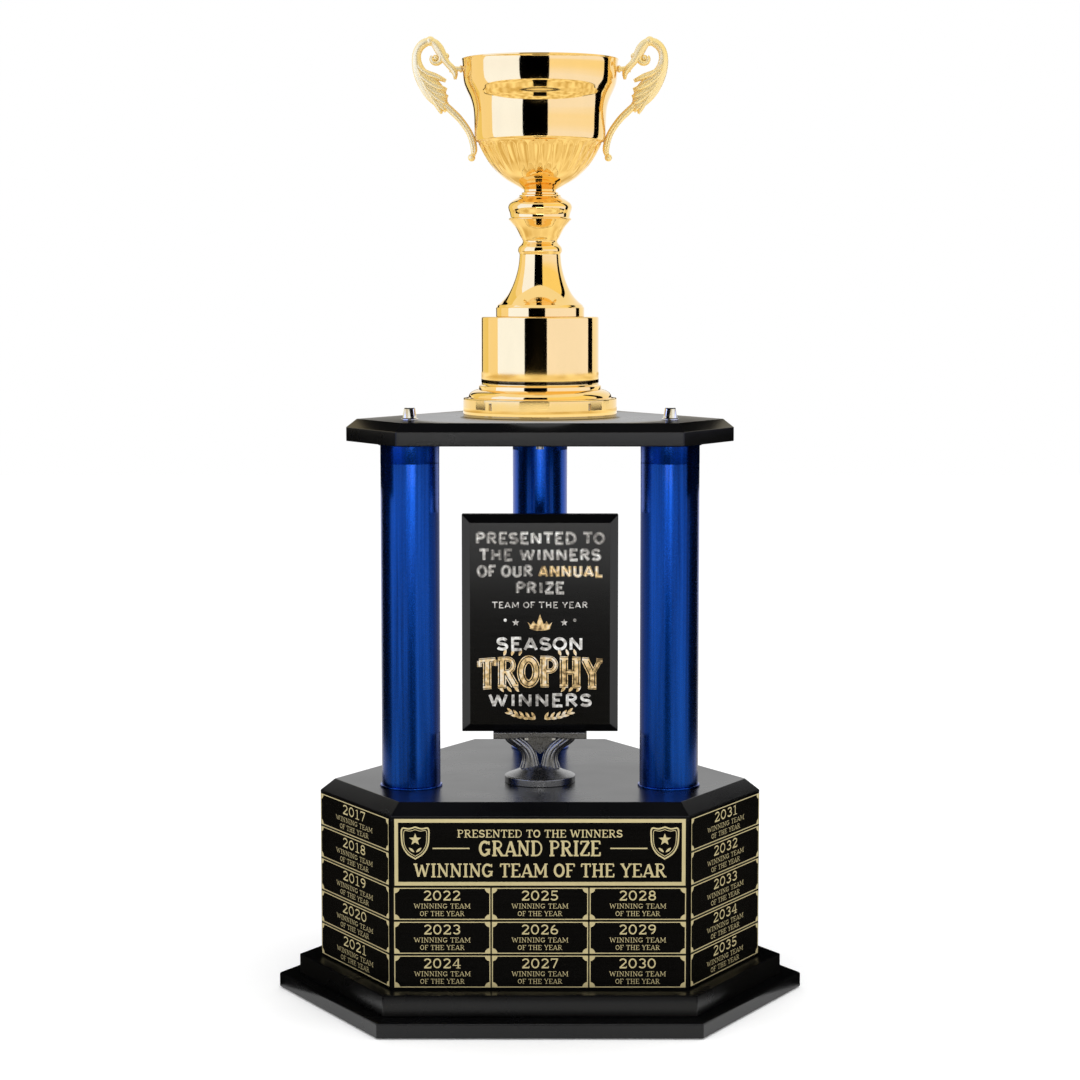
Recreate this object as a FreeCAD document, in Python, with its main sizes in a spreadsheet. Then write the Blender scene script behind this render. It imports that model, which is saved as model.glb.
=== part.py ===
import FreeCAD, Part
import os
import re
import Sketcher

# A column trophy: a three-cornered box on two plinths carries three tubes and a platform,
# a gilt loving cup stands on the platform, and a plaque stands between the tubes.
# Millimetres, +Z up, the front faces -Y, the origin is on the axis at the felt's underside.
# Every board is the same figure: a triangle whose corners are cut off square, so that three
# long sides and three short sides take turns and every corner is 120 degrees.

doc = FreeCAD.newDocument("column_trophy")

SIZES = {
    # felt and plinths
    "felt_thickness": 1.0,
    "felt_inset": 6.0,
    "low_step_long": 17.9,
    "low_step_short": 12.3,
    "low_plinth_height": 12.0,
    "low_plinth_round": 1.8,
    "high_step_long": 17.7,
    "high_step_short": 14.2,
    "high_plinth_height": 17.1,
    # box
    "box_long": 233.0,
    "box_short": 128.6,
    "panel_height": 135.5,
    "panel_thickness": 9.0,
    "lid_thickness": 12.2,
    "lid_bevel_drop": 9.4,
    "lid_bevel_run": 10.4,
    "block_width": 40.0,
    "block_depth": 30.0,
    "block_height": 50.0,
    # engraved plates
    "plate_gap": 0.9,
    "plate_start": 1.7,
    "plate_end": 2.0,
    "plate_thickness": 0.8,
    "front_plate_margin": 1.7,
    "front_plate_gap": 0.5,
    "side_plate_margin": 2.5,
    "header_margin": 2.4,
    "header_thickness": 1.2,
    # tubes, their end caps and the rods inside them
    "tube_inset": 51.1,
    "tube_radius": 23.7,
    "tube_wall": 1.0,
    "tube_length": 274.9,
    "cap_lip": 1.5,
    "cap_flange": 1.8,
    "cap_plug": 12.0,
    "rod_radius": 3.0,
    "rod_clearance": 0.4,
    "washer_ring": 6.0,
    "washer_thickness": 1.2,
    "nut_ring": 2.8,
    "nut_height": 5.0,
    "rod_tail": 2.8,
    "cap_nut_ring": 2.65,
    "cap_nut_height": 9.8,
    "cap_nut_flange": 1.15,
    "cap_nut_depth": 7.0,
    # platform
    "platform_past_tube": 35.2,
    "platform_beside_tube": 56.05,
    "platform_thickness": 18.0,
    "platform_bevel_drop": 6.8,
    "platform_bevel_run": 7.5,
    # plaque and its stand
    "plaque_width": 127.0,
    "plaque_height": 177.8,
    "plaque_thickness": 14.2,
    "plaque_bevel_run": 6.6,
    "plaque_bevel_drop": 4.5,
    "plaque_plate_thickness": 0.8,
    "stand_forward": 42.5,
    "stand_height": 41.7,
    "stand_foot_radius": 28.8,
    "stand_foot_rim": 6.0,
    "stand_dome_height": 13.0,
    "stand_waist": 32.0,
    "stand_cradle_width": 76.0,
    "stand_cradle_thickness": 5.5,
    "stand_depth": 17.0,
    "stand_arm_depth": 13.0,
    "cradle_screw_spacing": 22.0,
    "small_screw_radius": 1.6,
    "small_head_radius": 3.0,
    "small_head_height": 1.8,
    # cup
    "riser_radius": 48.2,
    "riser_height": 81.9,
    "riser_foot_radius": 63.2,
    "riser_foot_height": 27.5,
    "riser_lip_height": 14.8,
    "stem_height": 79.1,
    "stem_base_radius": 36.3,
    "stem_ring_radius": 17.9,
    "stem_neck_radius": 14.1,
    "stem_top_radius": 25.9,
    "knob_radius": 26.1,
    "knob_height": 24.3,
    "bowl_foot_radius": 14.2,
    "bowl_height": 106.2,
    "bowl_shoulder_radius": 51.9,
    "bowl_rim_radius": 63.9,
    "shell_wall": 1.2,
    "bowl_floor": 2.0,
    # handles
    "handle_spread": 40.6,
    "handle_thickness": 8.0,
    "stud_radius": 3.4,
    "handle_screw_depth": 5.0,
}

sheet = doc.addObject("Spreadsheet::Sheet", "dims")
for row, (alias, size) in enumerate(SIZES.items(), start=1):
    sheet.set(f"A{row}", alias)
    sheet.set(f"B{row}", str(size))
    sheet.setAlias(f"B{row}", alias)
doc.recompute()

WORD = re.compile(r"[a-z_]+")
pieces = []


def bound(words):
    """The same expression with every alias written as a cell of the sheet."""
    return WORD.sub(lambda m: "dims." + m.group(0) if m.group(0) in SIZES else m.group(0), words)


def measure(words):
    """The expression's value, as the sheet gives it now."""
    return float(sheet.evalExpression(bound(words)))


# Heights of the stack, each written from the pieces below it.
LOW_PLINTH = "felt_thickness"
HIGH_PLINTH = LOW_PLINTH + " + low_plinth_height"
PANELS = HIGH_PLINTH + " + high_plinth_height"
LID = PANELS + " + panel_height"
DECK = LID + " + lid_thickness"
PLATFORM = DECK + " + tube_length + 2 * cap_flange"
CUP = PLATFORM + " + platform_thickness"
STEM = CUP + " + riser_height"
KNOB = STEM + " + stem_height"
BOWL = KNOB + " + knob_height"
STAND_TOP = DECK + " + stand_height"
ROD_HOLE = "rod_radius + rod_clearance"
ROOT_THREE = "sqrt(3)"


# The box is set by its two side lengths. Everything else in plan is set by its distance from
# the axis to a long side and to a short side, which grow from the box by steps and margins.
BOX_LONG_OUT = f"(box_long + 2 * box_short) / (2 * {ROOT_THREE})"
BOX_SHORT_OUT = f"(2 * box_long + box_short) / (2 * {ROOT_THREE})"
TUBE_CIRCLE = f"({BOX_SHORT_OUT} - tube_inset)"
CAP_RADIUS = "(tube_radius + cap_lip)"
WASHER_RADIUS = "(rod_radius + washer_ring)"
CAP_NUT_RADIUS = "(rod_radius + cap_nut_ring)"


def cut_triangle(long_out, short_out):
    """The six corners of a board, the front long side first, turning to the left."""
    long = f"((4 * ({short_out}) - 2 * ({long_out})) / {ROOT_THREE})"
    short = f"((4 * ({long_out}) - 2 * ({short_out})) / {ROOT_THREE})"
    middle = f"({short} * {ROOT_THREE} / 2 - ({long_out}))"
    return [
        (f"-{long} / 2", f"-({long_out})"), (f"{long} / 2", f"-({long_out})"),
        (f"({long} + {short}) / 2", middle), (f"{short} / 2", f"{short_out}"),
        (f"-{short} / 2", f"{short_out}"), (f"-({long} + {short}) / 2", middle),
    ]


def rectangle(left, low, right, high):
    return [(left, low), (right, low), (right, high), (left, high)]


def new_body(name):
    body = doc.addObject("PartDesign::Body", name)
    body.Label = name
    body.AllowCompound = True
    pieces.append(body)
    return body


def origin_feature(body, role):
    return [f for f in body.Origin.OriginFeatures if f.Role == role][0]


def new_sketch(body, name, role="XY_Plane"):
    sketch = body.newObject("Sketcher::SketchObject", f"{body.Name}_{name}")
    sketch.AttachmentSupport = [(origin_feature(body, role), "")]
    sketch.MapMode = "FlatFace"
    return sketch


def pin_point(sketch, curve, point, place):
    """Hold one point of a curve at a place measured from the sketch's origin."""
    for kind, words, axis in (("DistanceX", place[0], -2), ("DistanceY", place[1], -1)):
        if words == "0":
            sketch.addConstraint(Sketcher.Constraint("PointOnObject", curve, point, axis))
        else:
            size = measure(words)
            index = sketch.addConstraint(Sketcher.Constraint(kind, -1, 1, curve, point, size))
            sketch.setExpression(f"Constraints[{index}]", bound(words))


def draw_outline(sketch, places):
    """A closed outline of straight lines, each corner held from the origin."""
    first = sketch.GeometryCount
    corners = [FreeCAD.Vector(measure(x), measure(y), 0) for x, y in places]
    count = len(corners)
    for i in range(count):
        sketch.addGeometry(Part.LineSegment(corners[i], corners[(i + 1) % count]), False)
    for i in range(count):
        following = first + (i + 1) % count
        sketch.addConstraint(Sketcher.Constraint("Coincident", first + i, 2, following, 1))
    for i in range(count):
        pin_point(sketch, first + i, 1, places[i])


def draw_circle(sketch, radius, place=("0", "0")):
    centre = FreeCAD.Vector(measure(place[0]), measure(place[1]), 0)
    curve = sketch.addGeometry(Part.Circle(centre, FreeCAD.Vector(0, 0, 1), measure(radius)), False)
    index = sketch.addConstraint(Sketcher.Constraint("Radius", curve, measure(radius)))
    sketch.setExpression(f"Constraints[{index}]", bound(radius))
    pin_point(sketch, curve, 3, place)


def draw_nut(sketch, place=("0", "0")):
    """A hexagon nut with its threaded hole."""
    corners = []
    for step in range(6):
        along = f"(rod_radius + nut_ring) * cos({60 * step} deg) + {place[0]}"
        across = f"(rod_radius + nut_ring) * sin({60 * step} deg) + {place[1]}"
        corners.append((along, across))
    draw_outline(sketch, corners)
    draw_circle(sketch, "rod_radius", place)


def pad(body, sketch, length, midplane=False, backwards=False):
    feature = body.newObject("PartDesign::Pad", f"{sketch.Name}_pad")
    feature.Profile = sketch
    feature.setExpression("Length", bound(length))
    feature.Midplane = midplane
    feature.Reversed = backwards
    doc.recompute()
    return feature


def pocket(body, sketch, depth=None, backwards=False):
    """A pocket that is checked to have taken material away. No depth means right through."""
    before = body.Shape.Volume
    feature = body.newObject("PartDesign::Pocket", f"{sketch.Name}_pocket")
    feature.Profile = sketch
    if depth is None:
        feature.Type = "ThroughAll"
        feature.Midplane = True
    else:
        feature.setExpression("Length", bound(depth))
        feature.Reversed = backwards
    doc.recompute()
    if feature.Shape.Volume >= before - 1e-3:
        raise RuntimeError(f"{feature.Name} cuts nothing")
    return feature


def revolve(body, sketch):
    feature = body.newObject("PartDesign::Revolution", f"{sketch.Name}_turned")
    feature.Profile = sketch
    feature.ReferenceAxis = (sketch, ["V_Axis"])
    feature.Angle = 360
    doc.recompute()
    return feature


def edges_at(feature, axis, level):
    """Names of the straight edges that lie in one plane, such as those of a top face."""
    names = []
    for number, edge in enumerate(feature.Shape.Edges, start=1):
        flat = all(abs(getattr(v.Point, axis) - level) < 1e-4 for v in edge.Vertexes)
        if flat and isinstance(edge.Curve, Part.Line):
            names.append(f"Edge{number}")
    return names


def bevel(body, feature, edges, drop, run):
    chamfer = body.newObject("PartDesign::Chamfer", f"{body.Name}_bevel")
    chamfer.Base = (feature, edges)
    chamfer.ChamferType = "Two distances"
    chamfer.setExpression("Size", bound(drop))
    chamfer.setExpression("Size2", bound(run))
    doc.recompute()
    return chamfer


def three_around(body, feature):
    """Repeat a feature over the three tubes."""
    pattern = body.newObject("PartDesign::PolarPattern", f"{feature.Name}_three")
    pattern.Originals = [feature]
    pattern.Axis = (origin_feature(body, "Z_Axis"), [""])
    pattern.Angle = 360
    pattern.Occurrences = 3
    body.Tip = pattern
    doc.recompute()
    return pattern


def raise_to(body, height):
    body.setExpression("Placement.Base.z", bound(height))


def turn_and_push(body, degrees, outward):
    """Turn a piece drawn at the front by some degrees and push it out from the axis."""
    body.Placement.Rotation = FreeCAD.Rotation(FreeCAD.Vector(0, 0, 1), degrees)
    body.setExpression("Placement.Base.x", bound(f"({outward}) * sin({degrees} deg)"))
    body.setExpression("Placement.Base.y", bound(f"-({outward}) * cos({degrees} deg)"))


def board(name, long_out, short_out, thickness, height):
    body = new_body(name)
    sketch = new_sketch(body, "outline")
    draw_outline(sketch, cut_triangle(long_out, short_out))
    slab = pad(body, sketch, thickness)
    raise_to(body, height)
    return body, slab


BACK_TUBE = ("0", TUBE_CIRCLE)
BLOCK_PLACE = ("0", BOX_SHORT_OUT + " - panel_thickness - block_depth / 2")


def drill(body, name, radius, places, role="XY_Plane"):
    """Holes right through, one at each place."""
    sketch = new_sketch(body, name, role)
    for place in places:
        draw_circle(sketch, radius, place)
    return pocket(body, sketch)


# ---------------------------------------------------------------- felt and plinths

HIGH_OUT = (f"{BOX_LONG_OUT} + high_step_long", f"{BOX_SHORT_OUT} + high_step_short")
LOW_OUT = (f"{HIGH_OUT[0]} + low_step_long", f"{HIGH_OUT[1]} + low_step_short")


def make_felt():
    board("felt_pad", f"{LOW_OUT[0]} - felt_inset", f"{LOW_OUT[1]} - felt_inset",
          "felt_thickness", "0 * felt_thickness")


def make_plinths():
    low, slab = board("bottom_plinth", *LOW_OUT, "low_plinth_height", LOW_PLINTH)
    edges = edges_at(slab, "z", measure("low_plinth_height"))
    rounding = low.newObject("PartDesign::Fillet", "bottom_plinth_round")
    rounding.Base = (slab, edges)
    rounding.setExpression("Radius", bound("low_plinth_round"))
    doc.recompute()
    three_around(low, drill(low, "screw_hole", "small_screw_radius + 0.4", [BLOCK_PLACE]))
    head_sink = new_sketch(low, "head_sink")
    draw_circle(head_sink, "small_head_radius + 0.4", BLOCK_PLACE)
    three_around(low, pocket(low, head_sink, "small_head_height + 0.2", backwards=True))
    high, slab = board("middle_plinth", *HIGH_OUT, "high_plinth_height", HIGH_PLINTH)
    three_around(high, drill(high, "screw_hole", "small_screw_radius + 0.4", [BLOCK_PLACE]))


def make_plinth_screws():
    """Three long screws go up through both plinths into the blocks in the box."""
    body = new_body("plinth_screws")
    heads = new_sketch(body, "heads")
    draw_circle(heads, "small_head_radius", BLOCK_PLACE)
    three_around(body, pad(body, heads, "small_head_height"))
    shanks = new_sketch(body, "shanks")
    draw_circle(shanks, "small_screw_radius", BLOCK_PLACE)
    length = "low_plinth_height + high_plinth_height + block_height / 2"
    three_around(body, pad(body, shanks, length))
    raise_to(body, LOW_PLINTH + " + 0.2")


def make_blocks():
    body = new_body("corner_blocks")
    sketch = new_sketch(body, "outline")
    inner = f"{BOX_SHORT_OUT} - panel_thickness"
    draw_outline(sketch, rectangle("-block_width / 2", f"{inner} - block_depth",
                                   "block_width / 2", inner))
    three_around(body, pad(body, sketch, "block_height"))
    three_around(body, drill(body, "screw_hole", "small_screw_radius", [BLOCK_PLACE]))
    raise_to(body, PANELS)


# ---------------------------------------------------------------- box

def make_panel(name, width, outward, degrees):
    """A wall of the box. Its ends are mitred at 60 degrees, so six of them close up."""
    body = new_body(name)
    sketch = new_sketch(body, "outline")
    inner = f"({width} / 2 - panel_thickness * tan(30 deg))"
    draw_outline(sketch, [(f"-{width} / 2", "0"), (f"{width} / 2", "0"),
                          (inner, "panel_thickness"), (f"-{inner}", "panel_thickness")])
    pad(body, sketch, "panel_height")
    turn_and_push(body, degrees, outward)
    raise_to(body, PANELS)


def make_box():
    for name, degrees in (("front_panel", 0), ("back_right_panel", 120), ("back_left_panel", 240)):
        make_panel(name, "box_long", BOX_LONG_OUT, degrees)
    for name, degrees in (("right_panel", 60), ("back_panel", 180), ("left_panel", 300)):
        make_panel(name, "box_short", BOX_SHORT_OUT, degrees)
    lid, slab = board("box_lid", BOX_LONG_OUT, BOX_SHORT_OUT, "lid_thickness", LID)
    edges = edges_at(slab, "z", measure("lid_thickness"))
    bevel(lid, slab, edges, "lid_bevel_drop", "lid_bevel_run")
    three_around(lid, drill(lid, "rod_hole", ROD_HOLE, [BACK_TUBE]))
    drill(lid, "stand_hole", ROD_HOLE, [("0", "-stand_forward")])


# ---------------------------------------------------------------- engraved plates

def make_plate(name, width, height, thickness, along, up, outward, degrees):
    """A thin plate glued flat on a wall, its lower edge and its middle given on that wall."""
    body = new_body(name)
    sketch = new_sketch(body, "outline", "XZ_Plane")
    left = f"{along} - ({width}) / 2"
    right = f"{along} + ({width}) / 2"
    draw_outline(sketch, rectangle(left, "0", right, height))
    pad(body, sketch, thickness)
    turn_and_push(body, degrees, outward)
    raise_to(body, up)


ROWS = 5
HEADER_ROWS = 2
WALL_HEIGHT = "(panel_height + lid_thickness - lid_bevel_drop)"
PLATE_HEIGHT = f"({WALL_HEIGHT} - plate_start - plate_end - {ROWS - 1} * plate_gap) / {ROWS}"
FRONT_WIDTH = "((box_long - 2 * front_plate_margin - 2 * front_plate_gap) / 3)"


def row_height(row):
    """The lower edge of a row of plates, the lowest row being 0."""
    return f"{PANELS} + plate_start + {row} * ({PLATE_HEIGHT} + plate_gap)"


def make_plates():
    number = 0
    for column in (-1, 0, 1):
        along = f"{column} * ({FRONT_WIDTH} + front_plate_gap)"
        for row in reversed(range(ROWS - HEADER_ROWS)):
            number += 1
            make_plate(f"front_plate_{number}", FRONT_WIDTH, PLATE_HEIGHT, "plate_thickness",
                       along, row_height(row), BOX_LONG_OUT, 0)
    side_width = "box_short - 2 * side_plate_margin"
    for side, degrees in (("left", 300), ("right", 60)):
        for row in range(ROWS):
            make_plate(f"{side}_plate_{row + 1}", side_width, PLATE_HEIGHT, "plate_thickness",
                       "0 * plate_gap", row_height(ROWS - 1 - row), BOX_SHORT_OUT, degrees)
    header_row = f"{row_height(ROWS - HEADER_ROWS)} + plate_gap / 2"
    header_height = f"{HEADER_ROWS} * {PLATE_HEIGHT} + plate_gap"
    make_plate("header_plate", "box_long - 2 * header_margin", header_height, "header_thickness",
               "0 * plate_gap", header_row, BOX_LONG_OUT, 0)


# ---------------------------------------------------------------- tubes and rods

TUBE_SITES = (("back", 180), ("left", 300), ("right", 60))


def make_tubes():
    for side, degrees in TUBE_SITES:
        body = new_body(f"{side}_column")
        sketch = new_sketch(body, "section")
        draw_circle(sketch, "tube_radius")
        draw_circle(sketch, "tube_radius - tube_wall")
        pad(body, sketch, "tube_length")
        turn_and_push(body, degrees, TUBE_CIRCLE)
        raise_to(body, DECK + " + cap_flange")


def cap_profile():
    """Half of an end cap: a flange under the tube and a plug inside it, with the rod's hole."""
    plug = "tube_radius - tube_wall"
    return [(ROD_HOLE, "0"), (CAP_RADIUS, "0"), (CAP_RADIUS, "cap_flange"),
            (plug, "cap_flange"), (plug, "cap_flange + cap_plug"),
            (ROD_HOLE, "cap_flange + cap_plug")]


def make_caps():
    for side, degrees in TUBE_SITES:
        body = new_body(f"{side}_lower_cap")
        sketch = new_sketch(body, "profile", "XZ_Plane")
        draw_outline(sketch, cap_profile())
        revolve(body, sketch)
        turn_and_push(body, degrees, TUBE_CIRCLE)
        raise_to(body, DECK)
    upper = new_body("upper_caps")
    for name, radius, depth in (("flange", CAP_RADIUS, "cap_flange"),
                                ("plug", "tube_radius - tube_wall", "cap_flange + cap_plug")):
        sketch = new_sketch(upper, name)
        draw_circle(sketch, radius, BACK_TUBE)
        draw_circle(sketch, ROD_HOLE, BACK_TUBE)
        three_around(upper, pad(upper, sketch, depth, backwards=True))
    raise_to(upper, PLATFORM)


def make_tie_rods():
    """One rod in each tube pulls the platform down on the box."""
    body = new_body("tie_rods")
    sketch = new_sketch(body, "section")
    draw_circle(sketch, "rod_radius", BACK_TUBE)
    tail = "rod_tail + washer_thickness + nut_height"
    length = (f"{tail} + lid_thickness + tube_length + 2 * cap_flange"
              " + platform_thickness + cap_nut_depth")
    three_around(body, pad(body, sketch, length))
    raise_to(body, f"{LID} - ({tail})")
    nuts = new_body("rod_nuts")
    sketch = new_sketch(nuts, "washer")
    draw_circle(sketch, WASHER_RADIUS, BACK_TUBE)
    draw_circle(sketch, "rod_radius", BACK_TUBE)
    three_around(nuts, pad(nuts, sketch, "washer_thickness", backwards=True))
    sketch = new_sketch(nuts, "nut")
    draw_nut(sketch, BACK_TUBE)
    three_around(nuts, pad(nuts, sketch, "washer_thickness + nut_height", backwards=True))
    raise_to(nuts, LID)


def make_cap_nuts():
    """A tapered blind nut closes each rod on top of the platform."""
    for side, degrees in TUBE_SITES:
        body = new_body(f"{side}_cap_nut")
        sketch = new_sketch(body, "profile", "XZ_Plane")
        draw_outline(sketch, [
            ("rod_radius", "0"), (f"{CAP_NUT_RADIUS} + cap_nut_flange", "0"),
            (f"{CAP_NUT_RADIUS} + cap_nut_flange", "1"), (CAP_NUT_RADIUS, "1.2"),
            (f"{CAP_NUT_RADIUS} - 1.1", "cap_nut_height - 1"),
            (f"{CAP_NUT_RADIUS} - 1.8", "cap_nut_height - 0.2"),
            (f"{CAP_NUT_RADIUS} / 2", "cap_nut_height"), ("0", "cap_nut_height"),
            ("0", "cap_nut_depth"), ("rod_radius", "cap_nut_depth")])
        revolve(body, sketch)
        turn_and_push(body, degrees, TUBE_CIRCLE)
        raise_to(body, CUP)


def make_platform():
    long_out = f"{TUBE_CIRCLE} / 2 + platform_beside_tube"
    short_out = f"{TUBE_CIRCLE} + platform_past_tube"
    body, slab = board("platform", long_out, short_out, "platform_thickness", PLATFORM)
    edges = edges_at(slab, "z", measure("platform_thickness"))
    bevel(body, slab, edges, "platform_bevel_drop", "platform_bevel_run")
    three_around(body, drill(body, "rod_hole", ROD_HOLE, [BACK_TUBE]))
    drill(body, "cup_hole", ROD_HOLE, [("0", "0")])


# ---------------------------------------------------------------- plaque on its stand

def make_plaque():
    half = "plaque_width / 2"
    board_body = new_body("plaque_board")
    sketch = new_sketch(board_body, "outline", "XZ_Plane")
    draw_outline(sketch, rectangle(f"-{half}", "0", half, "plaque_height"))
    slab = pad(board_body, sketch, "plaque_thickness")
    edges = edges_at(slab, "y", -measure("plaque_thickness"))
    bevel(board_body, slab, edges, "plaque_bevel_drop", "plaque_bevel_run")
    screw_holes = new_sketch(board_body, "screw_holes")
    for sign in (-1, 1):
        place = (f"{sign} * cradle_screw_spacing / 2", "-plaque_thickness / 2")
        draw_circle(screw_holes, "small_screw_radius", place)
    pocket(board_body, screw_holes, "10", backwards=True)
    board_body.setExpression("Placement.Base.y", bound("plaque_thickness / 2 - stand_forward"))
    raise_to(board_body, STAND_TOP)

    plate = new_body("plaque_plate")
    sketch = new_sketch(plate, "outline", "XZ_Plane")
    draw_outline(sketch, rectangle(f"-({half} - plaque_bevel_run)", "plaque_bevel_run",
                                   f"{half} - plaque_bevel_run", "plaque_height - plaque_bevel_run"))
    pad(plate, sketch, "plaque_plate_thickness")
    plate.setExpression("Placement.Base.y", bound("-plaque_thickness / 2 - stand_forward"))
    raise_to(plate, STAND_TOP)


def make_stand():
    """A cast stand: a round foot, two arms that part above it, and a cradle under the plaque."""
    body = new_body("plaque_stand")
    foot = new_sketch(body, "foot", "XZ_Plane")
    draw_outline(foot, [
        ("0", "0"), ("stand_foot_radius", "0"), ("stand_foot_radius", "stand_foot_rim"),
        ("stand_foot_radius - 1.4", "stand_foot_rim + 1.6"),
        ("stand_foot_radius * 0.8", "stand_dome_height * 0.72"),
        ("stand_waist * 0.55", "stand_dome_height"), ("0", "stand_dome_height")])
    revolve(body, foot)
    under_cradle = "stand_height - stand_cradle_thickness"
    half = "stand_cradle_width / 2"
    arms = new_sketch(body, "arms", "XZ_Plane")
    right_side = [
        ("stand_waist / 2", "stand_dome_height - 2"), ("stand_waist / 2 - 0.6", "stand_dome_height + 3"),
        ("stand_waist / 2 + 1.4", "stand_dome_height + 9"),
        ("stand_waist / 2 + 7", "stand_dome_height + 15"),
        (f"{half} - 9", f"{under_cradle} - 2.4"), (f"{half} - 3", under_cradle),
        (f"{half} - 12", under_cradle), ("stand_waist / 4 + 5", "stand_dome_height + 15"),
        ("stand_waist / 4 - 2", "stand_dome_height + 9.5")]
    left_side = [(f"-({x})", z) for x, z in reversed(right_side)]
    draw_outline(arms, right_side + [("0", "stand_dome_height + 5")] + left_side)
    pad(body, arms, "stand_arm_depth", midplane=True)
    cradle = new_sketch(body, "cradle", "XZ_Plane")
    draw_outline(cradle, rectangle(f"-{half}", under_cradle, half, "stand_height"))
    pad(body, cradle, "stand_depth", midplane=True)
    holes = new_sketch(body, "screw_holes")
    for sign in (-1, 1):
        draw_circle(holes, "small_screw_radius + 0.1", (f"{sign} * cradle_screw_spacing / 2", "0"))
    pocket(body, holes)
    tapped = new_sketch(body, "tapped_hole")
    draw_circle(tapped, "rod_radius")
    pocket(body, tapped, "stand_dome_height - 3", backwards=True)
    body.setExpression("Placement.Base.y", bound("-stand_forward"))
    raise_to(body, DECK)


def make_stand_screws():
    """Two small screws hold the plaque in the cradle. One large screw holds the foot."""
    small = new_body("cradle_screws")
    heads = new_sketch(small, "heads")
    shanks = new_sketch(small, "shanks")
    for sign in (-1, 1):
        place = (f"{sign} * cradle_screw_spacing / 2", "0")
        draw_circle(heads, "small_head_radius", place)
        draw_circle(shanks, "small_screw_radius", place)
    pad(small, heads, "small_head_height", backwards=True)
    pad(small, shanks, "stand_cradle_thickness + 8")
    small.setExpression("Placement.Base.y", bound("-stand_forward"))
    raise_to(small, f"{STAND_TOP} - stand_cradle_thickness")

    large = new_body("stand_screw")
    head = new_sketch(large, "head")
    draw_circle(head, WASHER_RADIUS)
    pad(large, head, "washer_thickness + 3", backwards=True)
    shank = new_sketch(large, "shank")
    draw_circle(shank, "rod_radius")
    pad(large, shank, "lid_thickness + stand_dome_height - 4")
    large.setExpression("Placement.Base.y", bound("-stand_forward"))
    raise_to(large, LID)


# ---------------------------------------------------------------- cup

def make_turned(name, profile, height):
    body = new_body(name)
    sketch = new_sketch(body, "profile", "XZ_Plane")
    draw_outline(sketch, profile)
    revolve(body, sketch)
    raise_to(body, height)
    return body


def make_riser():
    """A spun cylinder on a moulded foot, open below and closed above."""
    step = "(riser_foot_radius - riser_radius)"
    rise = "(riser_foot_height - riser_lip_height)"
    inside = "riser_radius - shell_wall"
    outer = [
        ("riser_foot_radius", "0"), ("riser_foot_radius - 0.4", "riser_lip_height"),
        (f"riser_radius + 0.73 * {step}", f"riser_lip_height + 0.08 * {rise}"),
        (f"riser_radius + 0.67 * {step}", f"riser_lip_height + 0.25 * {rise}"),
        (f"riser_radius + 0.54 * {step}", f"riser_lip_height + 0.43 * {rise}"),
        (f"riser_radius + 0.25 * {step}", f"riser_lip_height + 0.58 * {rise}"),
        (f"riser_radius + 0.25 * {step}", f"riser_lip_height + 0.7 * {rise}"),
        (f"riser_radius + 0.07 * {step}", f"riser_lip_height + 0.9 * {rise}"),
        ("riser_radius", "riser_foot_height"), ("riser_radius", "riser_height")]
    inner = [
        (ROD_HOLE, "riser_height"), (ROD_HOLE, "riser_height - shell_wall"),
        (inside, "riser_height - shell_wall"), (inside, "riser_lip_height - shell_wall"),
        ("riser_foot_radius - 1.6", "riser_lip_height - shell_wall"),
        ("riser_foot_radius - 1.6", "0")]
    make_turned("cup_riser", outer + inner, CUP)


def make_stem():
    """A trumpet foot that narrows to a ringed neck and opens again as a cone."""
    span = "(stem_base_radius - stem_ring_radius)"
    cone = "(stem_top_radius - stem_neck_radius)"
    make_turned("cup_stem", [
        (ROD_HOLE, "0"), ("stem_base_radius", "0"), ("stem_base_radius", "0.09 * stem_height"),
        ("stem_base_radius - 1.2", "0.12 * stem_height"),
        (f"stem_ring_radius + 0.73 * {span}", "0.157 * stem_height"),
        (f"stem_ring_radius + 0.46 * {span}", "0.231 * stem_height"),
        (f"stem_ring_radius + 0.22 * {span}", "0.341 * stem_height"),
        (f"stem_ring_radius + 0.06 * {span}", "0.451 * stem_height"),
        ("stem_ring_radius - 1.2", "0.645 * stem_height"),
        ("stem_ring_radius", "0.673 * stem_height"),
        ("stem_ring_radius - 0.4", "0.718 * stem_height"),
        ("stem_neck_radius", "0.774 * stem_height"),
        (f"stem_neck_radius + 0.16 * {cone}", "0.819 * stem_height"),
        (f"stem_neck_radius + 0.47 * {cone}", "0.911 * stem_height"),
        (f"stem_neck_radius + 0.84 * {cone}", "0.976 * stem_height"),
        ("stem_top_radius", "stem_height"), (ROD_HOLE, "stem_height")], STEM)


def make_knob():
    drop = "(knob_radius - bowl_foot_radius)"
    make_turned("cup_knob", [
        (ROD_HOLE, "0"), ("knob_radius - 1.3", "0"), ("knob_radius - 1.2", "0.15 * knob_height"),
        ("knob_radius", "0.4 * knob_height"), (f"bowl_foot_radius + 0.88 * {drop}", "0.55 * knob_height"),
        (f"bowl_foot_radius + 0.34 * {drop}", "0.724 * knob_height"),
        ("bowl_foot_radius + 0.8", "0.815 * knob_height"),
        ("bowl_foot_radius", "knob_height"), (ROD_HOLE, "knob_height")], KNOB)


UPPER_STUD = "0.92 * bowl_height"
LOWER_STUD = "0.375 * bowl_height"


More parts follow.
